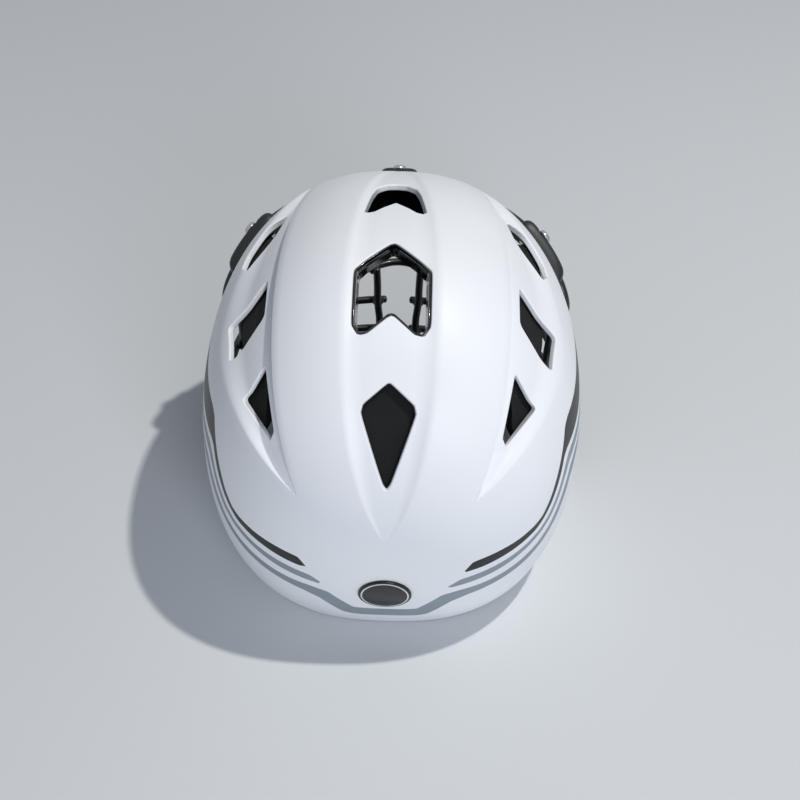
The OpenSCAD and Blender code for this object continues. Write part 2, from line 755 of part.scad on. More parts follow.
module chin_cup() {
    segs = 32;
    rings = 4;
    half = [38, cup_high / 2];
    function place(q, k) = let (al = k * 360 / segs)
        [half.x * q * signed(cos(al), 0.8), half.y * q * signed(sin(al), 0.8)];
    function layer(back) = [for (r = [0 : rings]) for (k = [0 : (r == 0 ? 0 : segs - 1)])
        let (q = r / rings, c = place(q, k))
        [c.x, cup_y(c.x, c.y + stud_z) + (back ? 8 * (1 - 0.45 * pow(q, 4)) : 0),
            c.y + stud_z - 1]];
    count = 1 + rings * segs;
    function at(r, k) = r == 0 ? 0 : 1 + (r - 1) * segs + (k % segs);
    front = [for (k = [0 : segs - 1]) each concat(
        [[0, at(1, k + 1), at(1, k)]],
        [for (r = [1 : rings - 1]) each [[at(r, k), at(r, k + 1), at(r + 1, k + 1)],
            [at(r, k), at(r + 1, k + 1), at(r + 1, k)]]])];
    rear = [for (f = front) [f[2] + count, f[1] + count, f[0] + count]];
    walls = [for (k = [0 : segs - 1]) each [
        [at(rings, k), at(rings, k + 1), at(rings, k + 1) + count],
        [at(rings, k), at(rings, k + 1) + count, at(rings, k) + count]]];
    placed() color(foam)
        polyhedron(points = concat(layer(false), layer(true)),
            faces = concat(front, rear, walls), convexity = 4);
}

shell();
vent_bezel();
rear_badge();
brow_pad();
crown_pad_left();
crown_pad_right();
side_pad_left();
side_pad_right();
rear_pad_left();
rear_pad_right();
rear_centre_pad();
nape_pad();
jaw_pad_left();
jaw_pad_right();
cage_perimeter_wire();
cage_brow_wire();
cage_nose_bar();
cage_mouth_bar_left();
cage_mouth_bar_right();
cage_chin_bar_left();
cage_chin_bar_right();
cage_centre_bar_left();
cage_centre_bar_right();
forehead_clip();
temple_clip_left();
temple_clip_right();
jaw_clip_left();
jaw_clip_right();
clip_screws();
tee_nuts();
strap_studs();
strap_snaps();
strap_webbing_left();
strap_webbing_right();
strap_slides();
chin_cup();
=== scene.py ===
"""Helmet with a wire face mask for a softball pitcher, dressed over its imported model.

Shapes are worked out in millimetres in the ear frame: the ear axis is at y = 0, the rim
plane at z = 0, and the face looks along -y. Pieces are placed in metres in the row frame.
"""
import logging
import math
from collections.abc import Callable
from dataclasses import dataclass
from enum import Enum
from functools import reduce

import bpy
import numpy as np
from mathutils import Matrix, Vector


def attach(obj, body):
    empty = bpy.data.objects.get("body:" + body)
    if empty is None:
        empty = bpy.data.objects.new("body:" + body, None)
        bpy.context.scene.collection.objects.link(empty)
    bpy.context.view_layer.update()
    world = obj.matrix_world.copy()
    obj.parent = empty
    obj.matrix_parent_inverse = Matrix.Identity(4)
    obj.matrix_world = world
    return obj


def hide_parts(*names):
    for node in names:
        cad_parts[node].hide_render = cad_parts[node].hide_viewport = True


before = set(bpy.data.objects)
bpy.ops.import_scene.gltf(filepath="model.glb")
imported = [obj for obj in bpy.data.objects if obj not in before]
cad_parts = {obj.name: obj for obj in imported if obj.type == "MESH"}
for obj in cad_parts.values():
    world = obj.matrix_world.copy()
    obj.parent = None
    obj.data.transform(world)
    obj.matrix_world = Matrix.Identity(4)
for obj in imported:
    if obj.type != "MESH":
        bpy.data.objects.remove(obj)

Array = np.ndarray
Pair = tuple[float, float]
Line = tuple[Pair, ...]
Spot = tuple[float, float, float]
Field = Callable[[Array, Array], Array]
Tree = bpy.types.NodeTree
Socket = bpy.types.NodeSocket

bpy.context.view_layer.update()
MM_PER_M = 1000
TINY = 1e-9
log = logging.getLogger("helmet")


class Body(Enum):
    """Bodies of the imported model."""

    HELMET = "helmet"
    STRAP = "chin_strap"


class Sides(Enum):
    """Last words in the names of the nodes that a shape stands for."""

    MIDDLE = ("",)
    PAIR = ("left", "right")


class Ends(Enum):
    """How a swept body ends."""

    OPEN = "open"
    CAPPED = "capped"
    JOINED = "joined"


def linear(colour: str) -> tuple[float, float, float, float]:
    """Turns an sRGB hex colour into linear RGBA.

    Args:
        colour: hex value such as "#F4F6F9".
    Returns:
        Red, green, blue and alpha, linear.
    """
    parts = [int(colour[i : i + 2], 16) / 255 for i in (1, 3, 5)]
    flat = [c / 12.92 if c <= 0.04045 else ((c + 0.055) / 1.055) ** 2.4 for c in parts]
    return (*flat, 1.0)


def smooth(t: Array) -> Array:
    """Eases from 0 to 1 as t goes from 0 to 1."""
    u = np.clip(t, 0, 1)
    return u * u * (3 - 2 * u)


def unit(v: Array) -> Array:
    """Scales vectors to length 1."""
    return v / np.maximum(np.linalg.norm(v, axis=-1, keepdims=True), 1e-12)


def signed_power(v: Array, power: float) -> Array:
    """Power of the size of v, with the sign of v."""
    return np.sign(v) * np.abs(v) ** power


def turns(count: int) -> Array:
    """Angles of even steps round a circle, in radians."""
    return np.radians(np.arange(count) * 360 / count)


def circle(turn: Array, u: Array, v: Array) -> Array:
    """Directions at the angles turn, in the plane of u and v."""
    return np.cos(turn)[:, None] * u + np.sin(turn)[:, None] * v


def groove(at: Array, wide: float, gap: float) -> Array:
    """Depth from 0 to 1 of moulded grooves that lie gap apart."""
    phase = (at / gap + 0.5) % 1 - 0.5
    return np.exp(-((phase * gap / wide) ** 2))


def add_node(
    tree: Tree,
    kind: str,
    values: dict[str | int, object] | None = None,
    links: dict[str | int, Socket] | None = None,
    **fields: object,
) -> bpy.types.Node:
    """Adds a shader node with its settings and links.

    Args:
        tree: the material's or world's node tree.
        kind: Blender's name of the node type, less its first words.
        values: constants for input sockets.
        links: output sockets that feed input sockets.
        fields: the node's own settings.
    Returns:
        The new node.
    """
    made = tree.nodes.new("ShaderNode" + kind)
    for name, value in fields.items():
        setattr(made, name, value)
    for name, value in (values or {}).items():
        made.inputs[name].default_value = value
    for name, source in (links or {}).items():
        tree.links.new(source, made.inputs[name])
    return made


def maths(tree: Tree, operation: str, *terms: Socket | float) -> Socket:
    """Adds a math node over sockets or numbers, and gives the socket with its result."""
    made = add_node(tree, "Math", operation=operation)
    for entry, term in zip(made.inputs, terms):
        if isinstance(term, float):
            entry.default_value = term
        else:
            tree.links.new(term, entry)
    return made.outputs[0]


@dataclass(frozen=True)
class Finish:
    """A finish: what the surface is made of and how it takes the light."""

    name: str
    slot: str
    colour: str
    tint: str
    roughness: float
    ior: float
    grain_mm: float
    grain_depth_mm: float
    metallic: float = 0.0
    coat: float = 0.0
    coat_roughness: float = 0.08
    sheen: float = 0.0
    tint_mm: float = 30.0
    uneven: float = 0.12

    def pattern(self, tree: Tree, spot: Socket) -> Socket:
        """Height pattern of the surface.

        Args:
            tree: the material's node tree.
            spot: socket with the place on the piece, in metres.
        Returns:
            Socket with the height, from 0 to 1.
        """
        scale = {"Scale": MM_PER_M / self.grain_mm, "Detail": 3.0}
        return add_node(tree, "TexNoise", scale, {"Vector": spot}).outputs["Fac"]

    def make(self) -> bpy.types.Material:
        """Builds the material, or returns it if it is there already."""
        known = bpy.data.materials.get(self.name)
        if known:
            return known
        made = bpy.data.materials.new(self.name)
        made.use_nodes = True
        made.diffuse_color = linear(self.colour)
        tree = made.node_tree
        tree.nodes.clear()
        spot = add_node(tree, "TexCoord").outputs["Object"]
        scale = {"Scale": MM_PER_M / self.tint_mm, "Detail": 4.0}
        cloud = add_node(tree, "TexNoise", scale, {"Vector": spot}).outputs["Fac"]
        colours = {6: linear(self.colour), 7: linear(self.tint)}
        blend = add_node(tree, "Mix", colours, {0: cloud}, data_type="RGBA")
        least, most = self.roughness * (1 - self.uneven), self.roughness * (1 + self.uneven)
        rough = add_node(
            tree, "MapRange", {"To Min": least, "To Max": min(1.0, most)}, {"Value": cloud}
        )
        bump = add_node(
            tree, "Bump", {"Strength": 1.0, "Distance": self.grain_depth_mm / MM_PER_M},
            {"Height": self.pattern(tree, spot)},
        )
        shader = add_node(
            tree, "BsdfPrincipled",
            {"IOR": self.ior, "Metallic": self.metallic, "Coat Weight": self.coat,
             "Coat Roughness": self.coat_roughness, "Sheen Weight": self.sheen},
            {"Base Color": blend.outputs[2], "Roughness": rough.outputs["Result"],
             "Normal": bump.outputs["Normal"]},
        )
        add_node(tree, "OutputMaterial", None, {"Surface": shader.outputs["BSDF"]})
        return made


@dataclass(frozen=True)
class ClosedCellFoam(Finish):
    """Foam whose moulded skin shows its closed cells."""

    def pattern(self, tree: Tree, spot: Socket) -> Socket:
        """Height of the closed cells under the skin, as in Finish.pattern."""
        scale = {"Scale": MM_PER_M / self.grain_mm}
        return add_node(tree, "TexVoronoi", scale, {"Vector": spot}).outputs["Distance"]


@dataclass(frozen=True)
class Woven(Finish):
    """Plain weave that follows the strap's own length and width."""

    def pattern(self, tree: Tree, spot: Socket) -> Socket:
        """Height of the crossing yarns, as in Finish.pattern."""
        flat = add_node(tree, "UVMap", uv_map="Flat").outputs["UV"]
        split = add_node(tree, "SeparateXYZ", None, {"Vector": flat})
        pace = 2 * math.pi / (self.grain_mm / MM_PER_M)
        waves = [
            maths(tree, "SINE", maths(tree, "MULTIPLY", split.outputs[axis], pace))
            for axis in ("X", "Y")
        ]
        return maths(tree, "MULTIPLY", *waves)


# Injection-moulded ABS: near white and satin, with a trace of gloss and faint orange peel
SHELL_ABS = Finish(
    "injection_moulded_abs_white", "shell_white", "#EEF1F6", "#F4F6F9", 0.5, 1.5, 2.6, 0.012,
    coat=0.05, coat_roughness=0.3, tint_mm=45,
)
# Screen-printed enamel: dense black bands, a little glossier than the ABS under them
BAND_BLACK = Finish(
    "screen_printed_enamel_black", "shell_white", "#07090C", "#101319", 0.4, 1.48, 2.6, 0.012
)
# Screen-printed enamel with silver pigment: dull blue-grey bands
BAND_GREY = Finish(
    "screen_printed_enamel_grey", "shell_white", "#7E8994", "#98A3AE", 0.45, 1.48, 2.6, 0.012
)
# Unpolished back of the moulding, painted dark: swallows the light behind the vents
LINER_PAINT = Finish(
    "matte_painted_abs_black", "shell_white", "#0C0D10", "#121418", 0.62, 1.5, 1.4, 0.03
)
# Polished ABS under lacquer: the mirror-like black lip in the arrow-shaped vent
BEZEL_ABS = Finish(
    "polished_abs_black", "bezel_black", "#060709", "#090A0D", 0.1, 1.54, 3, 0.003, coat=0.8
)
# Acrylic domed over a black print: one broad soft highlight on deep black
BADGE_ACRYLIC = Finish(
    "domed_acrylic_black", "badge_black", "#050607", "#0B0C0F", 0.2, 1.49, 4, 0.002
)
# Silver print under the acrylic's edge: a thin bright ring
BADGE_RING = Finish(
    "printed_silver_ring", "badge_black", "#D6DADF", "#E2E5E9", 0.3, 1.49, 1, 0.002, coat=0.7
)
# Compression-moulded EVA foam: soft black skin with fine closed cells, drawn 1.1 mm wide
EVA_FOAM = ClosedCellFoam(
    "compression_moulded_eva_foam_black", "foam_black", "#08090B", "#0D0E11", 0.9, 1.45, 1.1, 0.12
)
# Powder coat on welded carbon-steel wire: semi-gloss black with a pebbled skin
POWDER_COAT = Finish(
    "powder_coated_steel_black", "wire_black", "#0D0E11", "#14161A", 0.38, 1.5, 0.9, 0.03,
    coat=0.15,
)
# Moulded glass-filled nylon: hard black plastic with spark-eroded grain, drawn 0.7 mm wide
MOULDED_NYLON = Finish(
    "moulded_nylon_black", "clip_black", "#111317", "#191C21", 0.46, 1.53, 0.7, 0.04
)
# Zinc-plated steel, drawn and tumbled: bright, slightly uneven metal
ZINC_STEEL = Finish(
    "zinc_plated_steel", "screw_steel", "#C9CDD2", "#B7BCC3", 0.27, 1.5, 0.6, 0.008,
    metallic=1.0, tint_mm=2.5,
)
# Woven polyester webbing: crossing yarns, drawn 1.6 mm apart so that they show
WEBBING = Woven(
    "woven_polyester_webbing_black", "webbing_black", "#121316", "#1B1C20", 0.82, 1.45, 3.2, 0.25,
    sheen=0.35, tint_mm=3,
)
# Bonded polyester thread: a little lighter than the webbing, so that the stitches read
WEBBING_THREAD = Finish(
    "bonded_polyester_thread", "webbing_black", "#2A2C31", "#33353B", 0.6, 1.45, 0.4, 0.03,
    sheen=0.3, tint_mm=4,
)
# Matt studio board: plain pale floor that only carries the shadow
STUDIO_BOARD = Finish(
    "matt_studio_board", "", "#DBDEE0", "#DDE0E2", 0.9, 1.3, 8, 0.01, tint_mm=400
)


@dataclass
class Shape:
    """Mesh data in millimetres in the ear frame."""

    points: Array
    faces: list[tuple[int, ...]]
    normals: Array | None = None
    tags: Array | None = None
    flat: Array | None = None

    def joined(self, other: "Shape") -> "Shape":
        """Both shapes as one, without normals and tags."""
        n = len(self.points)
        faces = self.faces + [tuple(i + n for i in f) for f in other.faces]
        return Shape(np.vstack([self.points, other.points]), faces)

    def mirrored(self) -> "Shape":
        """The shape on the other side of the middle plane."""
        return Shape(self.points * [-1, 1, 1], [f[::-1] for f in self.faces], flat=self.flat)

    def both_sides(self) -> "Shape":
        """The shape and its mirror image as one."""
        return self.joined(self.mirrored())


def swept(rings: list[Array], ends: Ends = Ends.OPEN, flip: bool = False) -> Shape:
    """Skin over rings of points.

    Args:
        rings: points of each ring, all with the same number.
        ends: how the first and the last ring are closed.
        flip: whether the faces look the other way.
    Returns:
        The skin as a shape.
    """
    count, sides = len(rings), len(rings[0])
    faces = []
    for r in range(count if ends is Ends.JOINED else count - 1):
        low, high = r * sides, (r + 1) % count * sides
        for k in range(sides):
            n = (k + 1) % sides
            face = (low + k, low + n, high + n, high + k)
            faces.append((face[0], *face[:0:-1]) if flip else face)
    if ends is Ends.CAPPED:
        faces += [tuple(range(sides))[::-1], tuple(range((count - 1) * sides, count * sides))]
    return Shape(np.vstack(rings), faces)


@dataclass(frozen=True)
class Cushion:
    """Crowned body over a square with rounded corners, finer towards its edge."""

    steps: tuple[int, int]
    squareness: float
    reach: Pair
    tall: float
    shoulder: float
    drop: float
    floor: float
    foot: float = 0.0
    roundness: float = 2.2

    def shape(self, relief: Field, surface: Callable[..., Array], flip: bool) -> Shape:
        """Makes the body as one closed mesh.

        Args:
            relief: depth taken off the crown at places along and across, in mm.
            surface: point at a place from -1 to 1 along and across, and a height in mm.
            flip: whether the faces look the other way.
        Returns:
            The body.
        """
        lines = [np.sin(np.linspace(-1, 1, n + 1) * math.pi / 2) for n in self.steps]
        i, j = np.meshgrid(*lines, indexing="ij")
        q = np.maximum(np.abs(i), np.abs(j))
        safe = np.where(q > 0, q, 1)
        power = sum((np.abs(v) / safe) ** self.squareness for v in (i, j))
        scale = np.where(q > 0, power, 1) ** (-1 / self.squareness)
        x, y, least = i * scale, j * scale, min(self.reach)
        near = np.clip(1 - (1 - q) * least / min(self.shoulder, least), 0, 1)
        top = self.tall * (1 - self.drop * q**3) * np.sqrt(1 - near**self.roundness)
        cut = relief(x * self.reach[0], y * self.reach[1])
        top = top - np.minimum(cut, np.maximum(top - self.floor, 0))
        number = np.arange(q.size).reshape(q.shape)
        under = np.where(q >= 1 - TINY, number, number + q.size)
        faces = []
        for r, c in np.ndindex(*self.steps):
            k = (number[r, c], number[r + 1, c], number[r + 1, c + 1], number[r, c + 1])
            u = (under[r, c], under[r, c + 1], under[r + 1, c + 1], under[r + 1, c])
            faces += [k[::-1], u[::-1]] if flip else [k, u]
        points = [surface(x, y, h).reshape(-1, 3) for h in (top, np.minimum(self.foot, top))]
        return Shape(np.vstack(points), faces)


@dataclass(frozen=True)
class Arch:
    """Line along the shell, farthest from the middle at one profile angle."""

    most: float
    top: float
    rear_fall: float
    fore_fall: float

    def __call__(self, a: Array) -> Array:
        """Side angle of the line at profile angle a."""
        fall = np.where(a < self.top, self.rear_fall, self.fore_fall)
        return self.most - fall * (a - self.top) ** 2


@dataclass(frozen=True)
class Form:
    """Surface of the shell: a side profile with a rounded-square cross-section."""

    controls: tuple[float, ...] = (122.5, 139.5, 127.5, 134.0, 132.0, 165.0, 139.0, 129.0)
    half_width: float = 108.0
    ear_height: float = 86.0
    ear_back: float = 17.3
    power: float = 0.8
    front_taper: float = 0.04
    top_taper: float = 0.14
    taper_mm: float = 120.0
    wall: float = 3.6
    liner_shift: float = 1.3
    channel_depth: float = 4.5
    crease_width: float = 0.8
    valley_depth: float = 2.2
    crease: Arch = Arch(35, 74, 0.0045, 0.0045)
    ridge: Arch = Arch(62, 66, 0.0169, 0.0095)
    valley: Arch = Arch(12.2, 66, 0.0033, 0.0033)
    even_share: float = 0.55
    slope_share: float = 0.45
    full_channel: float = 12.0
    full_valley: float = 8.0

    def radius(self, a: Array) -> Array:
        """Radius of the side profile at angle a, 0 at the rear and 90 at the crown."""
        count = len(self.controls)
        t = (np.asarray(a, float) + 720) * count / 360
        i = np.floor(t).astype(int)
        f = t - i
        shares = (1 - f) ** 3, 3 * f**3 - 6 * f * f + 4, 1 + 3 * f + 3 * f * f - 3 * f**3, f**3
        c = np.array(self.controls)
        return sum(share * c[(i + k - 1) % count] for k, share in enumerate(shares)) / 6

    def sunk(self, a: Array, b: Array, shift: float) -> Array:
        """Depth of the channel, from crease to ridge, and of the valley at angles a and b."""
        c, r, v = self.crease(a) - shift, self.ridge(a), self.valley(a)
        w = np.where(r - c > 0, r - c, 1.0)
        rise = smooth(((b - c) / w - self.even_share) / self.slope_share)
        step = np.minimum(smooth((b - c) / self.crease_width), 1 - rise)
        deep = np.minimum(1, w / self.full_channel)
        side = np.where((r <= c) | (b <= c) | (b >= r), 0, deep * step)
        v = np.where(v > b, v, 0)
        safe = np.where(v > 0, v, 1.0)
        deep = np.minimum(1, safe / self.full_valley)
        mid = np.where(v > 0, deep * smooth((v - b) / (self.slope_share * safe)), 0)
        return self.channel_depth * side + self.valley_depth * mid

    def skin(self, a: Array, b: Array, rise: Array = 0.0, shift: float = 0.0) -> Array:
        """Point of the outer surface, moved outwards by rise.

        Args:
            a: profile angle in degrees.
            b: side angle in degrees, positive on the wearer's left.
            rise: distance above the surface.
            shift: how far the crease moves towards the middle.
        Returns:
            Points in the ear frame.
        """
        a, b, rise = np.broadcast_arrays(*(np.asarray(v, float) for v in (a, b, rise)))
        ra, rb = np.radians(a), np.radians(b)
        reach = self.radius(a) * np.clip(np.cos(rb), 0, None) ** self.power
        y, z = reach * np.cos(ra), reach * np.sin(ra)
        w = (
            1 - self.front_taper * (np.maximum(-y, 0) / self.taper_mm) ** 2
            - self.top_taper * (np.maximum(z, 0) / self.taper_mm) ** 2
        )
        p = np.stack([self.half_width * signed_power(np.sin(rb), self.power) * w, y, z], -1)
        scale = 1 + (rise - self.sunk(a, np.abs(b), shift)) / np.linalg.norm(p, axis=-1)
        return p * scale[..., None] + [0, 0, self.ear_height]

    def tangents(
        self, a: Array, b: Array, rise: Array = 0.0, shift: float = 0.0
    ) -> tuple[Array, Array]:
        """Change of the surface point with each angle, in mm per degree."""
        h = 0.04
        along = self.skin(a + h, b, rise, shift) - self.skin(a - h, b, rise, shift)
        across = self.skin(a, b + h, rise, shift) - self.skin(a, b - h, rise, shift)
        return along / (2 * h), across / (2 * h)

    def pitch(self, a: float, b: float) -> Pair:
        """Millimetres per degree along and across at one spot."""
        along, across = self.tangents(a, b)
        return float(np.linalg.norm(along)), float(np.linalg.norm(across))

    def normal(self, a: Array, b: Array, rise: Array = 0.0, shift: float = 0.0) -> Array:
        """Outward unit normal."""
        return unit(np.cross(*self.tangents(a, b, rise, shift)))

    def side_of(self, a: Array, x: Array) -> Array:
        """Side angle at which the surface reaches the distance x from the middle."""
        z = self.radius(a) * np.sin(np.radians(a))
        w = 1 - self.top_taper * (np.maximum(z, 0) / self.taper_mm) ** 2
        share = np.minimum(1, np.abs(x) / (self.half_width * w))
        return np.sign(x) * np.degrees(np.arcsin(share ** (1 / self.power)))

    def across(self, a: Array, x: Array, rise: float, shift: float = 0.0) -> Array:
        """Point at the profile angle a and the distance x from the middle."""
        return self.skin(a, self.side_of(a, x), rise, shift)

    def angle_of(self, y: float, z: float) -> float:
        """Profile angle of the side-view point, from -90 to 270."""
        a = math.degrees(math.atan2(z - self.ear_height, y))
        return a + 360 if a < -90 else a

    def seen(self, y: float, z: float) -> Pair:
        """Profile angle and side angle of the surface point seen at y, z from the side."""
        a = self.angle_of(y, z)
        share = math.hypot(y, z - self.ear_height) / float(self.radius(a))
        return a, math.degrees(math.acos(min(1, share ** (1 / self.power))))

    def beside(self, y: float, z: float, rise: float) -> Array:
        """Point above the surface seen at y, z from the side."""
        return self.skin(*self.seen(y, z), rise)

    def to_row(self, p: Array) -> Array:
        """Ear-frame millimetres to row-frame metres."""
        return (p + [0, self.ear_back, 0]) / MM_PER_M


FORM = Form()


def link(name: str, data: bpy.types.ID) -> bpy.types.Object:
    """Makes an object of the data and puts it into the scene."""
    made = bpy.data.objects.new(name, data)
    bpy.context.scene.collection.objects.link(made)
    return made


def place(
    name: str, shape: Shape, finishes: list[Finish], stands_for: tuple[str, ...] = (),
    body: Body = Body.HELMET,
) -> None:
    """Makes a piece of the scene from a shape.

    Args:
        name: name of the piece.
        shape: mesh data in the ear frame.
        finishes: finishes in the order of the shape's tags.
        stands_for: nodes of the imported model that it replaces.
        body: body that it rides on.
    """
    mesh = bpy.data.meshes.new(name)
    faces = [tuple(map(int, face)) for face in shape.faces]
    mesh.from_pydata(FORM.to_row(shape.points).tolist(), [], faces)
    for finish in finishes:
        mesh.materials.append(finish.make())
    if shape.tags is not None:
        mesh.polygons.foreach_set("material_index", shape.tags.astype(np.int32))
    if shape.flat is not None:
        layer = mesh.uv_layers.new(name="Flat")
        corner = np.zeros(len(mesh.loops), np.int32)
        mesh.loops.foreach_get("vertex_index", corner)
        layer.data.foreach_set("uv", shape.flat[corner].astype(np.float32).ravel())
    mesh.polygons.foreach_set("use_smooth", np.ones(len(faces), bool))
    mesh.update()
    if shape.normals is not None:
        mesh.normals_split_custom_set_from_vertices(shape.normals.tolist())
    made = link(name, mesh)
    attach(made, body.value)
    if stands_for:
        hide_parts(*stands_for)
    log.info("%s: %d points, %d faces", name, len(shape.points), len(faces))


def place_sides(
    stem: str, look: str, shape: Shape, finish: Finish, sides: Sides = Sides.PAIR,
    body: Body = Body.HELMET,
) -> None:
    """Makes the pieces of a shape that is there once, or once on each side.

    Args:
        stem: name of the node, less its side.
        look: last word of the piece's name.
        shape: the middle or left shape.
        finish: its finish.
        sides: where it is.
        body: body that it rides on.
    """
    for side in sides.value:
        node = f"{stem}_{side}" if side else stem
        made = shape.mirrored() if side == "right" else shape
        place(f"{node}_{look}", made, [finish], (node,), body)


def outline_distance(outline: Array, points: Array) -> Array:
    """Distance from points to a closed outline.

    Args:
        outline: corners of the outline in order.
        points: places in the same plane.
    Returns:
        Distances, negative inside the outline.
    """
    x, y = points[:, 0], points[:, 1]
    least = np.full(len(points), np.inf)
    inside = np.zeros(len(points), bool)
    for (x0, y0), (x1, y1) in zip(outline, np.roll(outline, -1, 0)):
        dx, dy = x1 - x0, y1 - y0
        t = np.clip(((x - x0) * dx + (y - y0) * dy) / max(dx * dx + dy * dy, 1e-12), 0, 1)
        least = np.minimum(least, np.hypot(x - x0 - t * dx, y - y0 - t * dy))
        if abs(dy) > TINY:
            inside ^= ((y0 > y) != (y1 > y)) & (x < x0 + (y - y0) * dx / dy)
    return np.where(inside, -least, least)


def rounded(corners: Line | Array, share: float, most: float = 99.0, steps: int = 8) -> Array:
    """Outline with its corners drawn round.

    Args:
        corners: corners in order.
        share: part of each edge that a corner takes.
        most: most length that a corner takes.
        steps: points in a corner, less one.
    Returns:
        Dense outline.
    """
    p = np.array(corners, float)
    made = []
    for i, tip in enumerate(p):
        ends = []
        for other in (p[i - 1], p[(i + 1) % len(p)]):
            length = np.linalg.norm(other - tip)
            ends.append(tip + (other - tip) * min(share, most / length))
        for t in np.linspace(0, 1, steps + 1):
            made.append((1 - t) ** 2 * ends[0] + 2 * t * (1 - t) * tip + t * t * ends[1])
    return np.array(made)


@dataclass(frozen=True)
class Vent:
    """One vent, by its corners: profile angle and side angle, or mm if in the middle."""

    corners: Line
    share: float
    middle: bool = False
    arc_mm: float = 2.27
    reach: float = 12.0
    far: float = 50.0

    def chart(self, a: Array, b: Array) -> Array:
        """Places on the shell as flat millimetres near the vent."""
        if self.middle:
            return np.stack([a * self.arc_mm, FORM.skin(a, b)[..., 0]], -1)
        centre = np.mean(self.corners, 0)
        return (np.stack([a, b], -1) - centre) * FORM.pitch(*centre)

    def outline(self) -> Array:
        """Dense outline in the chart."""
        if self.middle:
            half = [(a * self.arc_mm, x) for a, x in self.corners]
            return rounded(half + [(a, -x) for a, x in reversed(half) if x > 0], self.share)
        return rounded(self.chart(*np.array(self.corners).T), self.share)

    def distance(self, a: Array, b: Array) -> Array:
        """Distance to the vent's edge, negative inside and capped where far away."""
        made = np.full(np.shape(a), self.far)
        line = self.outline()
        spots = self.chart(a, b if self.middle else np.abs(b))
        low, high = line.min(0) - self.reach, line.max(0) + self.reach
        near = np.all((spots > low) & (spots < high), axis=-1)
        if near.any():
            made[near] = outline_distance(line, spots[near])
        return made


ARROW = Vent(
    ((80, 0), (73.8, 15.2), (71.2, 20), (57.2, 20), (54.8, 16.6), (55.2, 12), (59.9, 0)),
    0.16, True,
)
KITE = Vent(((44.6, 0), (39.6, 12.9), (37.6, 14), (21, 2), (19.6, 0)), 0.12, True)
SCOOP = Vent(
    ((107.4, 0), (107, 5.6), (105, 10.6), (101, 13), (96.5, 14.7), (91.4, 16.5), (92, 11.4),
     (93.7, 7.4), (96.4, 0)),
    0.14, True,
)
SLIT = Vent(
    ((113, 36.6), (103.5, 40.6), (91.8, 51.9), (95.5, 54), (101.5, 51.8), (108.5, 43.4)), 0.13
)
WINDOW = Vent(((78.4, 41.5), (64.2, 40.6), (52, 53.8), (67.2, 57.7)), 0.1)
WEDGE = Vent(((48.8, 37), (39.3, 44.6), (29, 32), (31.6, 30.8)), 0.09)


@dataclass
class Patch:
    """Triangles on the shell, held as pairs of profile and side angle."""

    spots: Array
    tris: Array
    tags: Array

    def split(self, line: Field) -> Array:
        """Cuts the triangles along the zero line of a field.

        Args:
            line: field over the two angles.
        Returns:
            For each triangle, whether it lies on the positive side.
        """
        least = 1e-3
        s = line(*self.spots.T)
        s = np.where(np.abs(s) < least, least, s)
        sign = s > 0
        kinds = sign[self.tris].sum(1)
        whole = (kinds == 0) | (kinds == 3)
        mixed = self.tris[~whole]
        lone = np.where((kinds[~whole] == 1)[:, None], sign[mixed], ~sign[mixed]).argmax(1)
        t = np.take_along_axis(mixed, (lone[:, None] + np.arange(3)) % 3, 1)
        edges = np.sort(np.vstack([t[:, [0, 1]], t[:, [0, 2]]]), 1)
        only, back = np.unique(edges, axis=0, return_inverse=True)
        p, q = self.spots[only[:, 0]], self.spots[only[:, 1]]
        lo, hi = np.zeros(len(only)), np.ones(len(only))
        slo, shi = s[only[:, 0]], s[only[:, 1]]
        for _ in range(4):
            m = np.clip(lo + (hi - lo) * slo / np.where(slo == shi, 1, slo - shi), least, 1 - least)
            at = p + (q - p) * m[:, None]
            sm = line(*at.T)
            low = (sm > 0) == (slo > 0)
            lo, slo = np.where(low, m, lo), np.where(low, sm, slo)
            hi, shi = np.where(low, hi, m), np.where(low, shi, sm)
        ab, ac = back.reshape(2, -1) + len(self.spots)
        self.spots = np.vstack([self.spots, at])
        pieces = [self.tris[whole]]
        for corners in ((t[:, 0], ab, ac), (ab, t[:, 1], t[:, 2]), (ab, t[:, 2], ac)):
            pieces.append(np.stack(corners, 1))
        tip_sign, tags = sign[t[:, 0]], self.tags[~whole]
        side = np.concatenate([sign[pieces[0][:, 0]], tip_sign, ~tip_sign, ~tip_sign])
        self.tags = np.concatenate([self.tags[whole], tags, tags, tags])
        self.tris = np.vstack(pieces)
        return side

    def keep(self, chosen: Array) -> None:
        """Drops the other triangles."""
        self.tris, self.tags = self.tris[chosen], self.tags[chosen]

    def weld(self) -> None:
        """Joins the points that lie on each other and drops what no triangle uses."""
        solid = np.round(FORM.skin(*self.spots.T), 3) + 0.0
        _, first, back = np.unique(solid, axis=0, return_index=True, return_inverse=True)
        self.tris = back.ravel()[self.tris]
        self.keep((self.tris != np.roll(self.tris, 1, 1)).all(1))
        used, inverse = np.unique(self.tris, return_inverse=True)
        self.tris = inverse.reshape(self.tris.shape)
        self.spots = self.spots[first[used]]

    def rim(self) -> Array:
        """Directed edges that only one triangle has, with that triangle's number."""
        t, n = self.tris, len(self.spots)
        pairs = np.vstack([t[:, [0, 1]], t[:, [1, 2]], t[:, [2, 0]]])
        owner = np.tile(np.arange(len(t)), 3)
        alone = ~np.isin(pairs @ [n, 1], pairs @ [1, n])
        return np.column_stack([pairs[alone], owner[alone]])


class Shade(Enum):
    """Finishes of the shell, as tags of its faces."""

    WHITE = 0
    BLACK = 1
    GREY = 2
    LINER = 3


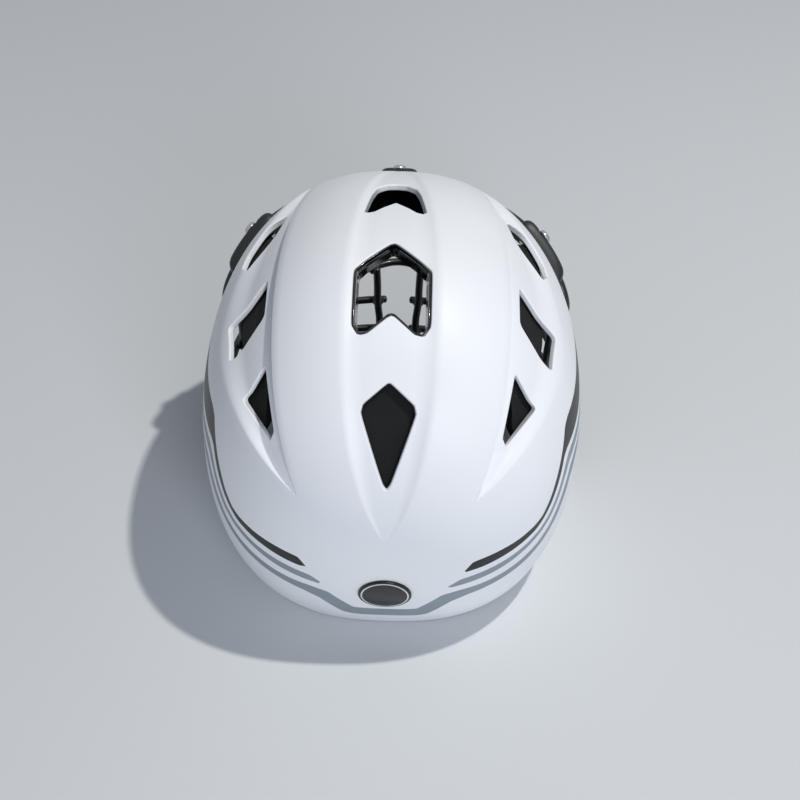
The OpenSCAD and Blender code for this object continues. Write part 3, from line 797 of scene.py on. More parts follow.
@dataclass(frozen=True)
class Band:
    """Printed band along the lower rear, between lines of plan angle and height."""

    upper: Line
    lower: Line
    shade: Shade
    plan: Pair = (108.0, 122.0)
    mm_per_degree: float = 2.0

    def distance(self, a: Array, b: Array) -> Array:
        """Distance to the band's edge in mm, positive inside the band."""
        p = FORM.skin(a, b)
        angle = np.degrees(np.arctan2(np.abs(p[..., 0]) / self.plan[0], p[..., 1] / self.plan[1]))
        outline = rounded((*self.upper, *self.lower[::-1]), share=0.3, most=1.2, steps=3)
        spots = np.stack([angle * self.mm_per_degree, p[..., 2]], -1)
        return -outline_distance(outline * [self.mm_per_degree, 1], spots)


BANDS = (
    Band(
        ((23.8, 76.8), (30, 79.2), (37.2, 81.6), (42.4, 84.4), (45.2, 87.4), (48, 95),
         (50.5, 103.8), (52.8, 111.7), (55, 119), (57.7, 128), (60.5, 130.5), (125, 134)),
        ((21.3, 68.6), (27, 70.4), (33, 73.4), (38.6, 76.6), (43.3, 80), (46, 84.2),
         (48.6, 90), (51.2, 97.8), (53.6, 105.5), (55.6, 112.5), (57.6, 114.6),
         (64.7, 115.6), (125, 118.5)),
        Shade.BLACK,
    ),
    Band(
        ((20.9, 62.6), (26.4, 65), (31.5, 67.4), (36, 69.8), (40.4, 72.8), (45, 77),
         (48.4, 82.5), (51, 89.5), (53.6, 97.5), (56, 105.5), (58.4, 110), (64, 111.6),
         (125, 113.5)),
        ((16.7, 55), (23.9, 57.8), (30.6, 61), (36, 64.6), (41, 68.6), (46.2, 73.8),
         (50, 80), (53, 88), (55.8, 96.5), (58.8, 103), (64, 105), (125, 106.5)),
        Shade.GREY,
    ),
    Band(
        ((-9, 31.5), (9.7, 31.7), (16.6, 48.3), (21, 51), (28, 53), (34, 55.8), (39.6, 59.4),
         (45, 64), (50, 71.5), (54, 81.5), (57, 90.5), (60, 98), (65, 101), (125, 102.5)),
        ((-9, 20.5), (10.5, 19.8), (13.6, 22), (19.7, 38.5), (24, 43.4), (29.6, 46.6),
         (36, 50.4), (43, 55.4), (48.6, 61.6), (54, 70.5), (58, 80), (61, 88), (66, 92.5),
         (125, 94)),
        Shade.GREY,
    ),
)


@dataclass
class HelmetShell:
    """The moulded shell with its vents, rolled edges and printed bands."""

    vents: tuple[Vent, ...] = (ARROW, KITE, SCOOP, SLIT, WINDOW, WEDGE)
    bands: tuple[Band, ...] = BANDS
    face: Line = (
        (-260, 198.6), (-78, 136.7), (-68, 131), (-61, 122), (-58, 104), (-56, 88),
        (-53, 60), (-48, 34), (-42, 18), (-39, -20), (-260, -20),
    )
    blend: float = 9.0
    ear_height: float = 78.0
    ear_radius: float = 17.0
    ear_side: float = 40.0
    edge: float = 0.9
    outer_turns: tuple[float, ...] = (22.5, 45, 67.5, 90)
    inner_turns: tuple[float, ...] = (90, 60, 30)
    lift: float = 0.02
    level: float = 25.0
    rows: int = 380
    counts: tuple[int, ...] = (6, 9, 5, 14, 38)
    last_side: float = 88.0
    least_angles: Spot = (0.7, 20.0, 1.8)

    def columns(self, a: Array) -> Array:
        """Side angles of the grid's columns at profile angles a, for one side."""

        def even(lo: Array, hi: Array, n: int) -> list[Array]:
            """Angles from lo to hi in n even steps over the surface."""
            first, last = (np.sin(np.radians(v)) ** FORM.power for v in (lo, hi))
            steps = [first + (last - first) * k / n for k in range(n)]
            return [np.degrees(np.arcsin(s ** (1 / FORM.power))) for s in steps]

        least_valley, least_crease, least_gap = self.least_angles
        valley = np.maximum(FORM.valley(a), least_valley)
        crease = np.maximum(FORM.crease(a), least_crease)
        ridge = np.maximum(FORM.ridge(a), crease + least_gap)
        foot = crease + FORM.crease_width
        n = self.counts
        columns = even(np.zeros_like(a), valley, n[0]) + even(valley, crease, n[1])
        columns += [crease + FORM.crease_width * k / n[2] for k in range(n[2])]
        columns += even(foot, ridge, n[3])
        columns += [ridge + (self.last_side - ridge) * k / n[4] for k in range(n[4] + 1)]
        return np.stack(columns, 1)

    def grid(self) -> Patch:
        """The whole surface before anything is cut."""
        a = np.linspace(-90, 270, self.rows + 1)
        side = self.columns(a)
        b = np.hstack([-side[:, :0:-1], side])
        n = b.shape[1]
        k = (np.arange(self.rows)[:, None] * n + np.arange(n - 1)).ravel()
        tris = np.vstack([np.stack([k, k + n, k + 1], 1), np.stack([k + 1, k + n, k + n + 1], 1)])
        return Patch(np.stack([np.repeat(a, n), b.ravel()], 1), tris, np.zeros(len(tris), int))

    def openness(self, a: Array, b: Array) -> Array:
        """Distance to the nearest opening, negative inside one."""
        p = FORM.skin(a, b)
        rim, k = p[:, 2], self.blend
        face = rounded(self.face, share=0.45, most=9.0, steps=5)
        cheek = outline_distance(face, p[:, 1:])
        h = np.clip(0.5 + 0.5 * (rim - cheek) / k, 0, 1)
        least = rim + (cheek - rim) * h - k * h * (1 - h)
        ear = np.hypot(p[:, 1], p[:, 2] - self.ear_height) - self.ear_radius
        least = np.minimum(least, np.where(np.abs(b) > self.ear_side, ear, np.inf))
        for vent in self.vents:
            least = np.minimum(least, vent.distance(a, b))
        return least

    def slope(self, a: Array, b: Array) -> Array:
        """Gradient of openness along the surface, as vectors."""
        h = 0.03
        fa = (self.openness(a + h, b) - self.openness(a - h, b)) / (2 * h)
        fb = (self.openness(a, b + h) - self.openness(a, b - h)) / (2 * h)
        sa, sb = FORM.tangents(a, b)
        e, f, g = (sa * sa).sum(-1), (sa * sb).sum(-1), (sb * sb).sum(-1)
        d = e * g - f * f
        return sa * ((g * fa - f * fb) / d)[:, None] + sb * ((e * fb - f * fa) / d)[:, None]

    def clearance(self, a: Array, b: Array) -> Array:
        """Distance along the surface to the start of the rolled edge."""
        reach, flattest, steepest = 7, 0.35, 1.6
        least = self.openness(a, b)
        near = np.abs(least) < reach
        steep = np.linalg.norm(self.slope(a[near], b[near]), axis=-1)
        least[near] /= np.clip(steep, flattest, steepest)
        return least - self.edge

    def shape(self) -> Shape:
        """Outer face, rolled edges, walls and inner face as one closed mesh."""
        patch = self.grid()
        patch.keep(patch.split(self.clearance))
        for band in self.bands:
            inside = patch.split(band.distance)
            patch.tags[inside] = band.shade.value
        patch.weld()
        a, b = patch.spots.T
        outer, up = FORM.skin(a, b), FORM.normal(a, b)
        inner = FORM.skin(a, b, -FORM.wall, FORM.liner_shift)
        down = -FORM.normal(a, b, -FORM.wall, FORM.liner_shift)
        sunk = inner[:, 2] - outer[:, 2]
        inner[:, 2] = outer[:, 2] + sunk * smooth(outer[:, 2] / self.level)
        rim = patch.rim()
        ids = np.unique(rim[:, :2])
        out = -unit(self.slope(a[ids], b[ids]))
        out = unit(out - up[ids] * (out * up[ids]).sum(-1, keepdims=True))
        points, normals, layers = [outer, inner], [up, down], [ids]
        rolls = [(outer, up, turn) for turn in self.outer_turns]
        rolls += [(inner, down, turn) for turn in self.inner_turns]
        for base, face, turn in rolls:
            s, c = math.sin(math.radians(turn)), math.cos(math.radians(turn))
            ring = base[ids] + out * self.edge * s - face[ids] * self.edge * (1 - c)
            ring[:, 2] = np.maximum(ring[:, 2], self.lift)
            layers.append(np.arange(len(ids)) + sum(map(len, points)))
            points.append(ring)
            normals.append(unit(face[ids] * c + out * s))
        layers.append(ids + len(outer))
        faces = [*map(tuple, patch.tris), *map(tuple, patch.tris[:, ::-1] + len(outer))]
        tags = [patch.tags, np.full(len(patch.tris), Shade.LINER.value)]
        i, j = np.searchsorted(ids, rim[:, :2]).T
        printed = len(self.outer_turns)
        for k, (p, q) in enumerate(zip(layers, layers[1:])):
            faces += map(tuple, np.stack([p[j], p[i], q[i], q[j]], 1))
            shade = Shade.WHITE if k < printed + 2 else Shade.LINER
            tags.append(patch.tags[rim[:, 2]] if k < printed else np.full(len(rim), shade.value))
        return Shape(np.vstack(points), faces, np.vstack(normals), np.concatenate(tags))

    def build(self) -> None:
        """Makes the shell and dresses it."""
        finishes = [SHELL_ABS, BAND_BLACK, BAND_GREY, LINER_PAINT]
        place("helmet_shell", self.shape(), finishes, ("shell",))


@dataclass
class VentBezel:
    """Glossy lining of the arrow-shaped vent with a rounded lip."""

    section: Line = (
        (0.3, -9), (0.3, -0.5), (0.36, -0.18), (0.5, 0.02), (0.7, 0.08), (0.9, 0.02),
        (1.08, -0.18), (1.15, -0.5), (1.15, -9),
    )
    spacing: float = 1.2

    def build(self) -> None:
        """Sweeps the lip's section round the vent."""
        line = ARROW.outline()
        line = line[np.linalg.norm(line - np.roll(line, 1, 0), axis=1) > 1e-6]
        dense = []
        for p, q in zip(line, np.roll(line, -1, 0)):
            count = max(1, int(np.linalg.norm(q - p) / self.spacing))
            dense += [p + (q - p) * k / count for k in range(count)]
        line = np.array(dense)
        run = unit(np.roll(line, -1, 0) - np.roll(line, 1, 0))
        inward = np.stack([-run[:, 1], run[:, 0]], 1)
        rings = []
        for inset, rise in self.section:
            at = line + inward * inset
            rings.append(FORM.across(at[:, 0] / ARROW.arc_mm, at[:, 1], rise))
        place("arrow_vent_bezel", swept(rings, Ends.JOINED), [BEZEL_ABS], ("vent_bezel",))


@dataclass
class RearBadge:
    """Plain round badge with a thin ring, low at the rear."""

    section: Line = (
        (0, 1.75), (3, 1.74), (6, 1.71), (8.5, 1.67), (10.5, 1.61), (11.9, 1.55),
        (12.1, 1.54), (12.9, 1.5), (13.1, 1.49), (13.6, 1.45), (13.9, 1.38), (14.1, 1.28),
        (14.25, 1.12), (14.4, 0.9), (14.4, 0.5), (14.4, 0.25),
    )
    silver: int = 6
    centre: float = -15.9
    mm_per_degree: float = 2.17
    sides: int = 96

    def build(self) -> None:
        """Makes the domed disc in rings."""
        turn = turns(self.sides)
        rings = []
        for r, rise in self.section:
            a = self.centre + r * np.cos(turn) / self.mm_per_degree
            rings.append(FORM.across(a, r * np.sin(turn) + TINY, rise))
        shape = swept(rings, flip=True)
        shape.tags = np.repeat(np.arange(len(rings) - 1) == self.silver, self.sides)
        place("rear_badge_disc", shape, [BADGE_ACRYLIC, BADGE_RING], ("rear_badge",))


@dataclass(frozen=True)
class Slab:
    """Rounded slab that follows the shell between two distances."""

    centre: Pair
    half: Pair
    low: float
    high: float
    steps: tuple[int, int]
    drop: float
    in_mm: bool = False
    squareness: float = 4.0
    shoulder: float = 5.0

    def pitch(self) -> Pair:
        """Millimetres per unit along and across the slab."""
        along, across = FORM.pitch(*self.centre)
        return along, 1.0 if self.in_mm else across

    def shape(self, relief: Field) -> Shape:
        """Makes the slab as one closed mesh.

        Args:
            relief: depth taken off the free face at places along and across, in mm.
        Returns:
            The shape, its free face at the height high.
        """
        way = math.copysign(1, self.high - self.low)

        def surface(x: Array, y: Array, h: Array) -> Array:
            """Point at the height h over the slab's foot."""
            a, b = self.centre[0] + self.half[0] * x, self.centre[1] + self.half[1] * y
            rise = self.low + way * h
            if self.in_mm:
                return FORM.across(a, b + TINY, rise, FORM.liner_shift)
            return FORM.skin(a, b, rise, FORM.liner_shift)

        reach = tuple(p * h for p, h in zip(self.pitch(), self.half))
        body = Cushion(
            self.steps, self.squareness, reach, abs(self.high - self.low), self.shoulder,
            self.drop, floor=0.8, foot=0.02,
        )
        return body.shape(relief, surface, way < 0)


@dataclass
class FoamPad:
    """Crowned foam block with moulded channels, stuck inside the shell."""

    name: str
    slab: Slab
    sides: Sides = Sides.PAIR
    channel_gap: float = 21.0
    channel_wide: float = 1.7
    channel_deep: float = 2.6
    wide_pad: float = 45.0

    def relief(self, u: Array, v: Array) -> Array:
        """Depth of the moulded channels, which cross each other on a wide pad."""
        depth = groove(u, self.channel_wide, self.channel_gap)
        if np.ptp(v) > self.wide_pad:
            depth = np.maximum(depth, groove(v, self.channel_wide, self.channel_gap))
        return depth * self.channel_deep

    def build(self) -> None:
        """Makes the pad, and its mirror image if it has one."""
        shape = self.slab.shape(self.relief)
        place_sides(self.name, "foam", shape, EVA_FOAM, self.sides)


def pads() -> list[FoamPad]:
    """The helmet's pads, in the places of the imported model."""
    near, far = -4.4, -17.4
    middle = (
        ("rear_centre_pad", Slab((33, 0), (14.5, 22), near - 0.2, -14.6, (60, 64), 0.2, True)),
        ("nape_pad", Slab((-6, 0), (17, 26), near, far, (90, 120), 0.2)),
        ("brow_pad", Slab((139.66, 0), (10.5, 30), near - 1, -25.4, (64, 130), 0.2)),
    )
    return [
        FoamPad("crown_pad", Slab((85, 20), (28, 6.5), near, far, (96, 34), 0.25)),
        FoamPad("side_pad", Slab((82, 46.5), (25, 8), near, far, (96, 34), 0.25)),
        FoamPad("rear_pad", Slab((38, 43.5), (12, 6.5), near - 0.8, far - 0.8, (60, 44), 0.25)),
        *(FoamPad(name, slab, Sides.MIDDLE) for name, slab in middle),
        FoamPad("jaw_pad", Slab((277, 75.5), (23, 4.2), near, far, (64, 44), 0.25)),
    ]


def curve(points: list[Array], steps: int) -> Array:
    """Smooth path through points, with so many steps for each stretch."""
    p = [np.asarray(v, float) for v in points]
    made = []
    for a, b, c, d in zip([p[0], *p], p, p[1:], [*p[2:], p[-1]]):
        for t in np.arange(steps) / steps:
            bend = (2 * a - 5 * b + 4 * c - d) * t * t + (3 * b - a - 3 * c + d) * t**3
            made.append((2 * b + (c - a) * t + bend) / 2)
    return np.array([*made, p[-1]])


def whole(half: Array) -> Array:
    """The path with its mirror image behind it, for one that ends on the middle plane."""
    return np.vstack([half, half[-2::-1] * [-1, 1, 1]])


def tube(path: Array, radius: float, sides: int = 20) -> Shape:
    """Round wire along a path with domed ends.

    Args:
        path: centre line.
        radius: radius of the wire.
        sides: points round the wire.
    Returns:
        The wire as a closed mesh.
    """
    run = unit(np.gradient(path, axis=0))
    u = unit(np.cross(run[0], [0.3, 0.5, 0.81]))
    dome = [(-0.588, 0.2), (-0.51, 0.53), (-0.3, 0.87)]
    stations = [(path[0] + run[0] * radius * s, run[0], share) for s, share in dome]
    stations += [(p, t, 1.0) for p, t in zip(path, run)]
    stations += [(path[-1] - run[-1] * radius * s, run[-1], share) for s, share in dome[::-1]]
    rings = []
    for centre, t, share in stations:
        u = unit(u - t * float(u @ t))
        rings.append(centre + radius * share * circle(turns(sides), u, np.cross(t, u)))
    return swept(rings, Ends.CAPPED)


@dataclass
class FaceCage:
    """Welded wire face mask: a perimeter wire, a brow wire, crossing bars and two uprights."""

    wire: float = 2.5
    gap: float = 0.5
    weld: float = 0.3
    side_y: float = -54.0
    reach: float = 150.0
    tuck: float = 0.0034
    widest_z: float = 52.0
    top_z: float = 132.0
    nose_bulge: float = 10.0
    nose_half: float = 30.0
    nose_z: Pair = (42.0, 66.0)
    bow: float = 0.9
    bar_end_x: float = 10.0
    bar_end_share: float = 0.4
    brow_plane: Spot = (-76.0, 149.5, 0.26)
    bead_wide: float = 3.7
    bead_tall: float = 2.2
    bead_corner: float = 0.12
    bead_ripple: float = 0.05
    knots: tuple[int, ...] = (0, 4, 9, 16, 24, 32, 40, 48, 56, 63, 69, 73, 76, 79, 82, 85, 88, 90)

    @property
    def inner(self) -> float:
        """Depth at which a wire is welded behind a crossing bar."""
        return 2 * self.wire - self.weld

    def lay(self, y: float, z: float) -> Array:
        """Wire centre on the shell beside the point y, z."""
        return FORM.beside(y, z, self.wire + self.gap)

    def raw(self, t: float, z: float) -> Array:
        """Point of the cage's surface, t from 0 at the cheek to 90 in front."""
        s, c = (max(0.0, f(math.radians(t))) ** self.bow for f in (math.sin, math.cos))
        x = self.lay(self.side_y, min(z, self.top_z))[0] * c
        y = self.side_y - (self.reach - self.tuck * (z - self.widest_z) ** 2 + self.side_y) * s
        if abs(x) < self.nose_half:
            low, high = self.nose_z
            bulge = math.cos(math.radians(90 * x / self.nose_half)) ** 2
            y -= self.nose_bulge * bulge * float(smooth((z - low) / (high - low)))
        return np.array([x, y, z])

    def point(self, t: float, z: float, inset: float = 0.0) -> Array:
        """Point of the cage's surface, moved inwards by inset."""
        g = self.raw(min(90, t + 1), z) - self.raw(max(0, t - 1), z)
        n = np.array([0, 1.0, 0]) if t > 89.5 else unit(np.array([g[1], -g[0], 0]))
        return self.raw(t, z) + inset * n

    def bar(self, side_z: float, front_z: float) -> list[Array]:
        """Knots of half a crossing bar, from the cheek to the middle."""
        share = [math.sin(math.radians(t)) ** self.bow for t in self.knots]
        return [self.point(t, side_z + (front_z - side_z) * s) for t, s in zip(self.knots, share)]

    def side_bar(self, side_z: float, front_z: float) -> list[Array]:
        """Knots of a crossing bar that ends just past the upright."""
        knots = self.bar(side_z, front_z)
        last = sum(knot[0] > self.bar_end_x for knot in knots)
        end = knots[last - 1] + self.bar_end_share * (knots[last] - knots[last - 1])
        return [*knots[:last], end]

    def perimeter(self) -> Array:
        """Perimeter wire from the temple, down the cheek and under the chin."""
        knots = [self.lay(y, z) for y, z in (
            (-76, 144.8), (-70, 139.3), (-64, 134), (-58.5, 128), (-55.5, 121.5), (-55.5, 114.5))]
        knots.append(FORM.beside(-59, 107, self.wire + self.gap - 0.2))
        knots += [self.point(t, z, self.inner) for t, z in (
            (8, 99), (12.5, 90.5), (15.5, 79), (16, 62), (16, 45), (19, 29), (27, 15),
            (39, 7.5), (54, 4.5), (72, 3.6), (90, 3.4))]
        return whole(curve(knots, 7))

    def brow(self) -> Array:
        """Upper wire that lies on the forehead in a slanted plane."""
        y, z, fall = self.brow_plane
        knots = []
        for b in (47.5, 43, 39, 35, 31, 27, 22.5, 18, 13.5, 9, 5, 2, 0):
            lo, hi = 100.0, 175.0
            for _ in range(20):
                m = (lo + hi) / 2
                p = FORM.skin(m, b)
                lo, hi = (m, hi) if p[2] - z + fall * (p[1] - y) > 0 else (lo, m)
            knots.append(FORM.skin((lo + hi) / 2, b, self.wire + self.gap))
        return whole(curve(knots, 5))

    def upright(self) -> Array:
        """Left upright behind the crossing bars, from the nose bar to the perimeter wire."""
        top, top_x, foot_x, steps, bent_steps = 71, 17, 12.5, 9, 6
        foot = 3.4 + self.wire - self.weld
        knots = []
        for i in range(steps + 1):
            z = top + (foot - top) * i / steps
            x = top_x + (foot_x - top_x) * float(smooth(i / bent_steps))
            t = math.degrees(math.acos((x / self.raw(0, z)[0]) ** (1 / self.bow)))
            knots.append(self.point(t, z, self.inner))
        return curve(knots, 4)

    def bead(self, centre: Array, first: Array, second: Array, number: int) -> Shape:
        """Weld bead: a rippled lens in the corner of two crossing wires."""
        u, n = unit(first), unit(np.cross(first, second))
        turn = turns(20)
        corner = 1 + self.bead_corner * np.abs(np.cos(2 * turn))
        around = circle(turn, u, np.cross(n, u)) * corner[:, None]
        rings = []
        for tilt in np.linspace(0, math.pi, 13):
            ripple = 1 + self.bead_ripple * np.sin(5 * turn + number) * math.sin(tilt)
            ring = self.bead_wide * math.sin(tilt) * ripple[:, None] * around
            rings.append(centre + ring + self.bead_tall * math.cos(tilt) * n)
        return swept(rings)

    def beads(self, wires: dict[str, Array]) -> Shape:
        """A bead where each pair of wires touches."""
        pairs = (
            "perimeter nose", "perimeter mouth", "perimeter chin", "perimeter centre",
            "brow perimeter", "centre nose", "centre mouth", "centre chin",
        )
        made = []
        for number, pair in enumerate(pairs):
            p, q = (wires[name] for name in pair.split())
            p, q = p[p[:, 0] > 1], q[q[:, 0] > 1]
            far = np.linalg.norm(p[:, None] - q[None], axis=-1)
            i, j = np.unravel_index(far.argmin(), far.shape)
            i, j = min(max(i, 1), len(p) - 2), min(max(j, 1), len(q) - 2)
            ways = p[i + 1] - p[i - 1], q[j + 1] - q[j - 1]
            made.append(self.bead((p[i] + q[j]) / 2, *ways, number).both_sides())
        return reduce(Shape.joined, made)

    def build(self) -> None:
        """Makes the wires and their weld beads."""
        cheek = [self.lay(y, 38) for y in (-17, -27, -37, -46)]
        wires = {
            "perimeter": self.perimeter(),
            "brow": self.brow(),
            "nose": whole(curve(self.bar(50, 70)[2:], 3)),
            "mouth": np.vstack([
                curve([*cheek, self.point(0, 38)], 4)[:-1], curve(self.side_bar(38, 45), 3),
            ]),
            "chin": curve(self.side_bar(23, 23)[2:], 3),
            "centre": self.upright(),
        }
        for name, path in wires.items():
            kind = "wire" if name in ("perimeter", "brow") else "bar"
            sides = Sides.MIDDLE if path[:, 0].min() < 0 else Sides.PAIR
            shape = tube(path, self.wire)
            place_sides(f"cage_{name}_{kind}", "coated", shape, POWDER_COAT, sides)
        place("cage_weld_beads", self.beads(wires), [POWDER_COAT])


# Angles of the shell under the clips' screws; the first is off the middle by a trace
FORE = (FORM.angle_of(-103, 170), 1e-6)
TEMPLE = FORM.seen(-70.2, 150)
JAW = FORM.seen(-29, 48)


def lathe(
    profile: Line, point: Array, way: Array, sides: int = 40, socket: range = range(0)
) -> Shape:
    """Body turned round an axis.

    Args:
        profile: radius and height pairs, from the axis outwards and down.
        point: foot of the axis.
        way: direction of the axis.
        sides: points round the axis.
        socket: numbers of the profile's points that lie on a hexagon.
    Returns:
        The turned body.
    """
    u = unit(np.cross(way, [0.31, 0.2, 0.93]))
    around = circle(turns(sides), u, np.cross(way, u))
    corner = np.arange(sides) * 360 / sides % 60 - 30
    hexagon = (math.cos(math.pi / 6) / np.cos(np.radians(corner)))[:, None]
    rings = [
        point + way * h + r * (hexagon if k in socket else 1) * around
        for k, (r, h) in enumerate(profile)
    ]
    return swept(rings, flip=True)


@dataclass
class CageClips:
    """Moulded clips that hold the cage's wires down on the shell, and their screws."""

    low: float = 0.3
    high: float = 7.2
    seat: float = 6.4
    seat_depth: float = 0.75
    seat_edge: float = 0.8

    def clip(self, name: str, slab: Slab, screw: Pair, sides: Sides = Sides.PAIR) -> None:
        """Makes a clip with a flat round seat under its screw."""
        pitch = slab.pitch()
        at = screw[0] - slab.centre[0], 0.0 if slab.in_mm else screw[1] - slab.centre[1]

        def relief(u: Array, v: Array) -> Array:
            """Depth of the seat at places along and across the slab."""
            far = np.hypot(u - at[0] * pitch[0], v - at[1] * pitch[1])
            return self.seat_depth * smooth((self.seat - far) / self.seat_edge)

        place_sides(name, "moulded", slab.shape(relief), MOULDED_NYLON, sides)

    def build(self) -> None:
        """Makes the clips, their screws and the nuts' finish."""

        def slab(centre: Pair, half: Pair, drop: float, in_mm: bool = False) -> Slab:
            """A clip's body over the wires."""
            steps = (84, 84)
            return Slab(
                centre, half, self.low, self.high, steps, drop, in_mm, squareness=5, shoulder=2.6
            )

        fore = slab((FORE[0] + 3.2, 0), (6.4, 12), 0.12, True)
        self.clip("forehead_clip", fore, FORE, Sides.MIDDLE)
        a, b = FORM.seen(-66.5, 143.5)
        self.clip("temple_clip", slab((a, b - 1.25), (6.2, 10.75), 0.14), TEMPLE)
        self.clip("jaw_clip", slab(FORM.seen(-28, 43), (12, 4.6), 0.14), JAW)
        self.screws()
        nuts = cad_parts["tee_nuts"].data.materials
        nuts.clear()
        nuts.append(ZINC_STEEL.make())

    def screws(self) -> None:
        """Pan-head screws with hexagon sockets, as one piece."""
        top = self.high - 0.6
        head = (
            (0.01, 1.3), (1.9, 1.3), (1.9, 2.35), (2.15, 2.58), (2.7, 2.5), (3.4, 2.2),
            (3.9, 1.65), (4.15, 1), (4.2, 0.4), (4.2, 0), (2.5, 0),
        )
        profile = [(r, top + h) for r, h in head] + [(2.5, -8.4), (2.2, -8.6), (0.01, -8.6)]
        made = []
        for spot in (FORE, TEMPLE, JAW):
            one = lathe(profile, FORM.skin(*spot), FORM.normal(*spot), 48, range(1, 3))
            made.append(one if spot is FORE else one.both_sides())
        place("cage_clip_screws", reduce(Shape.joined, made), [ZINC_STEEL], ("clip_screws",))


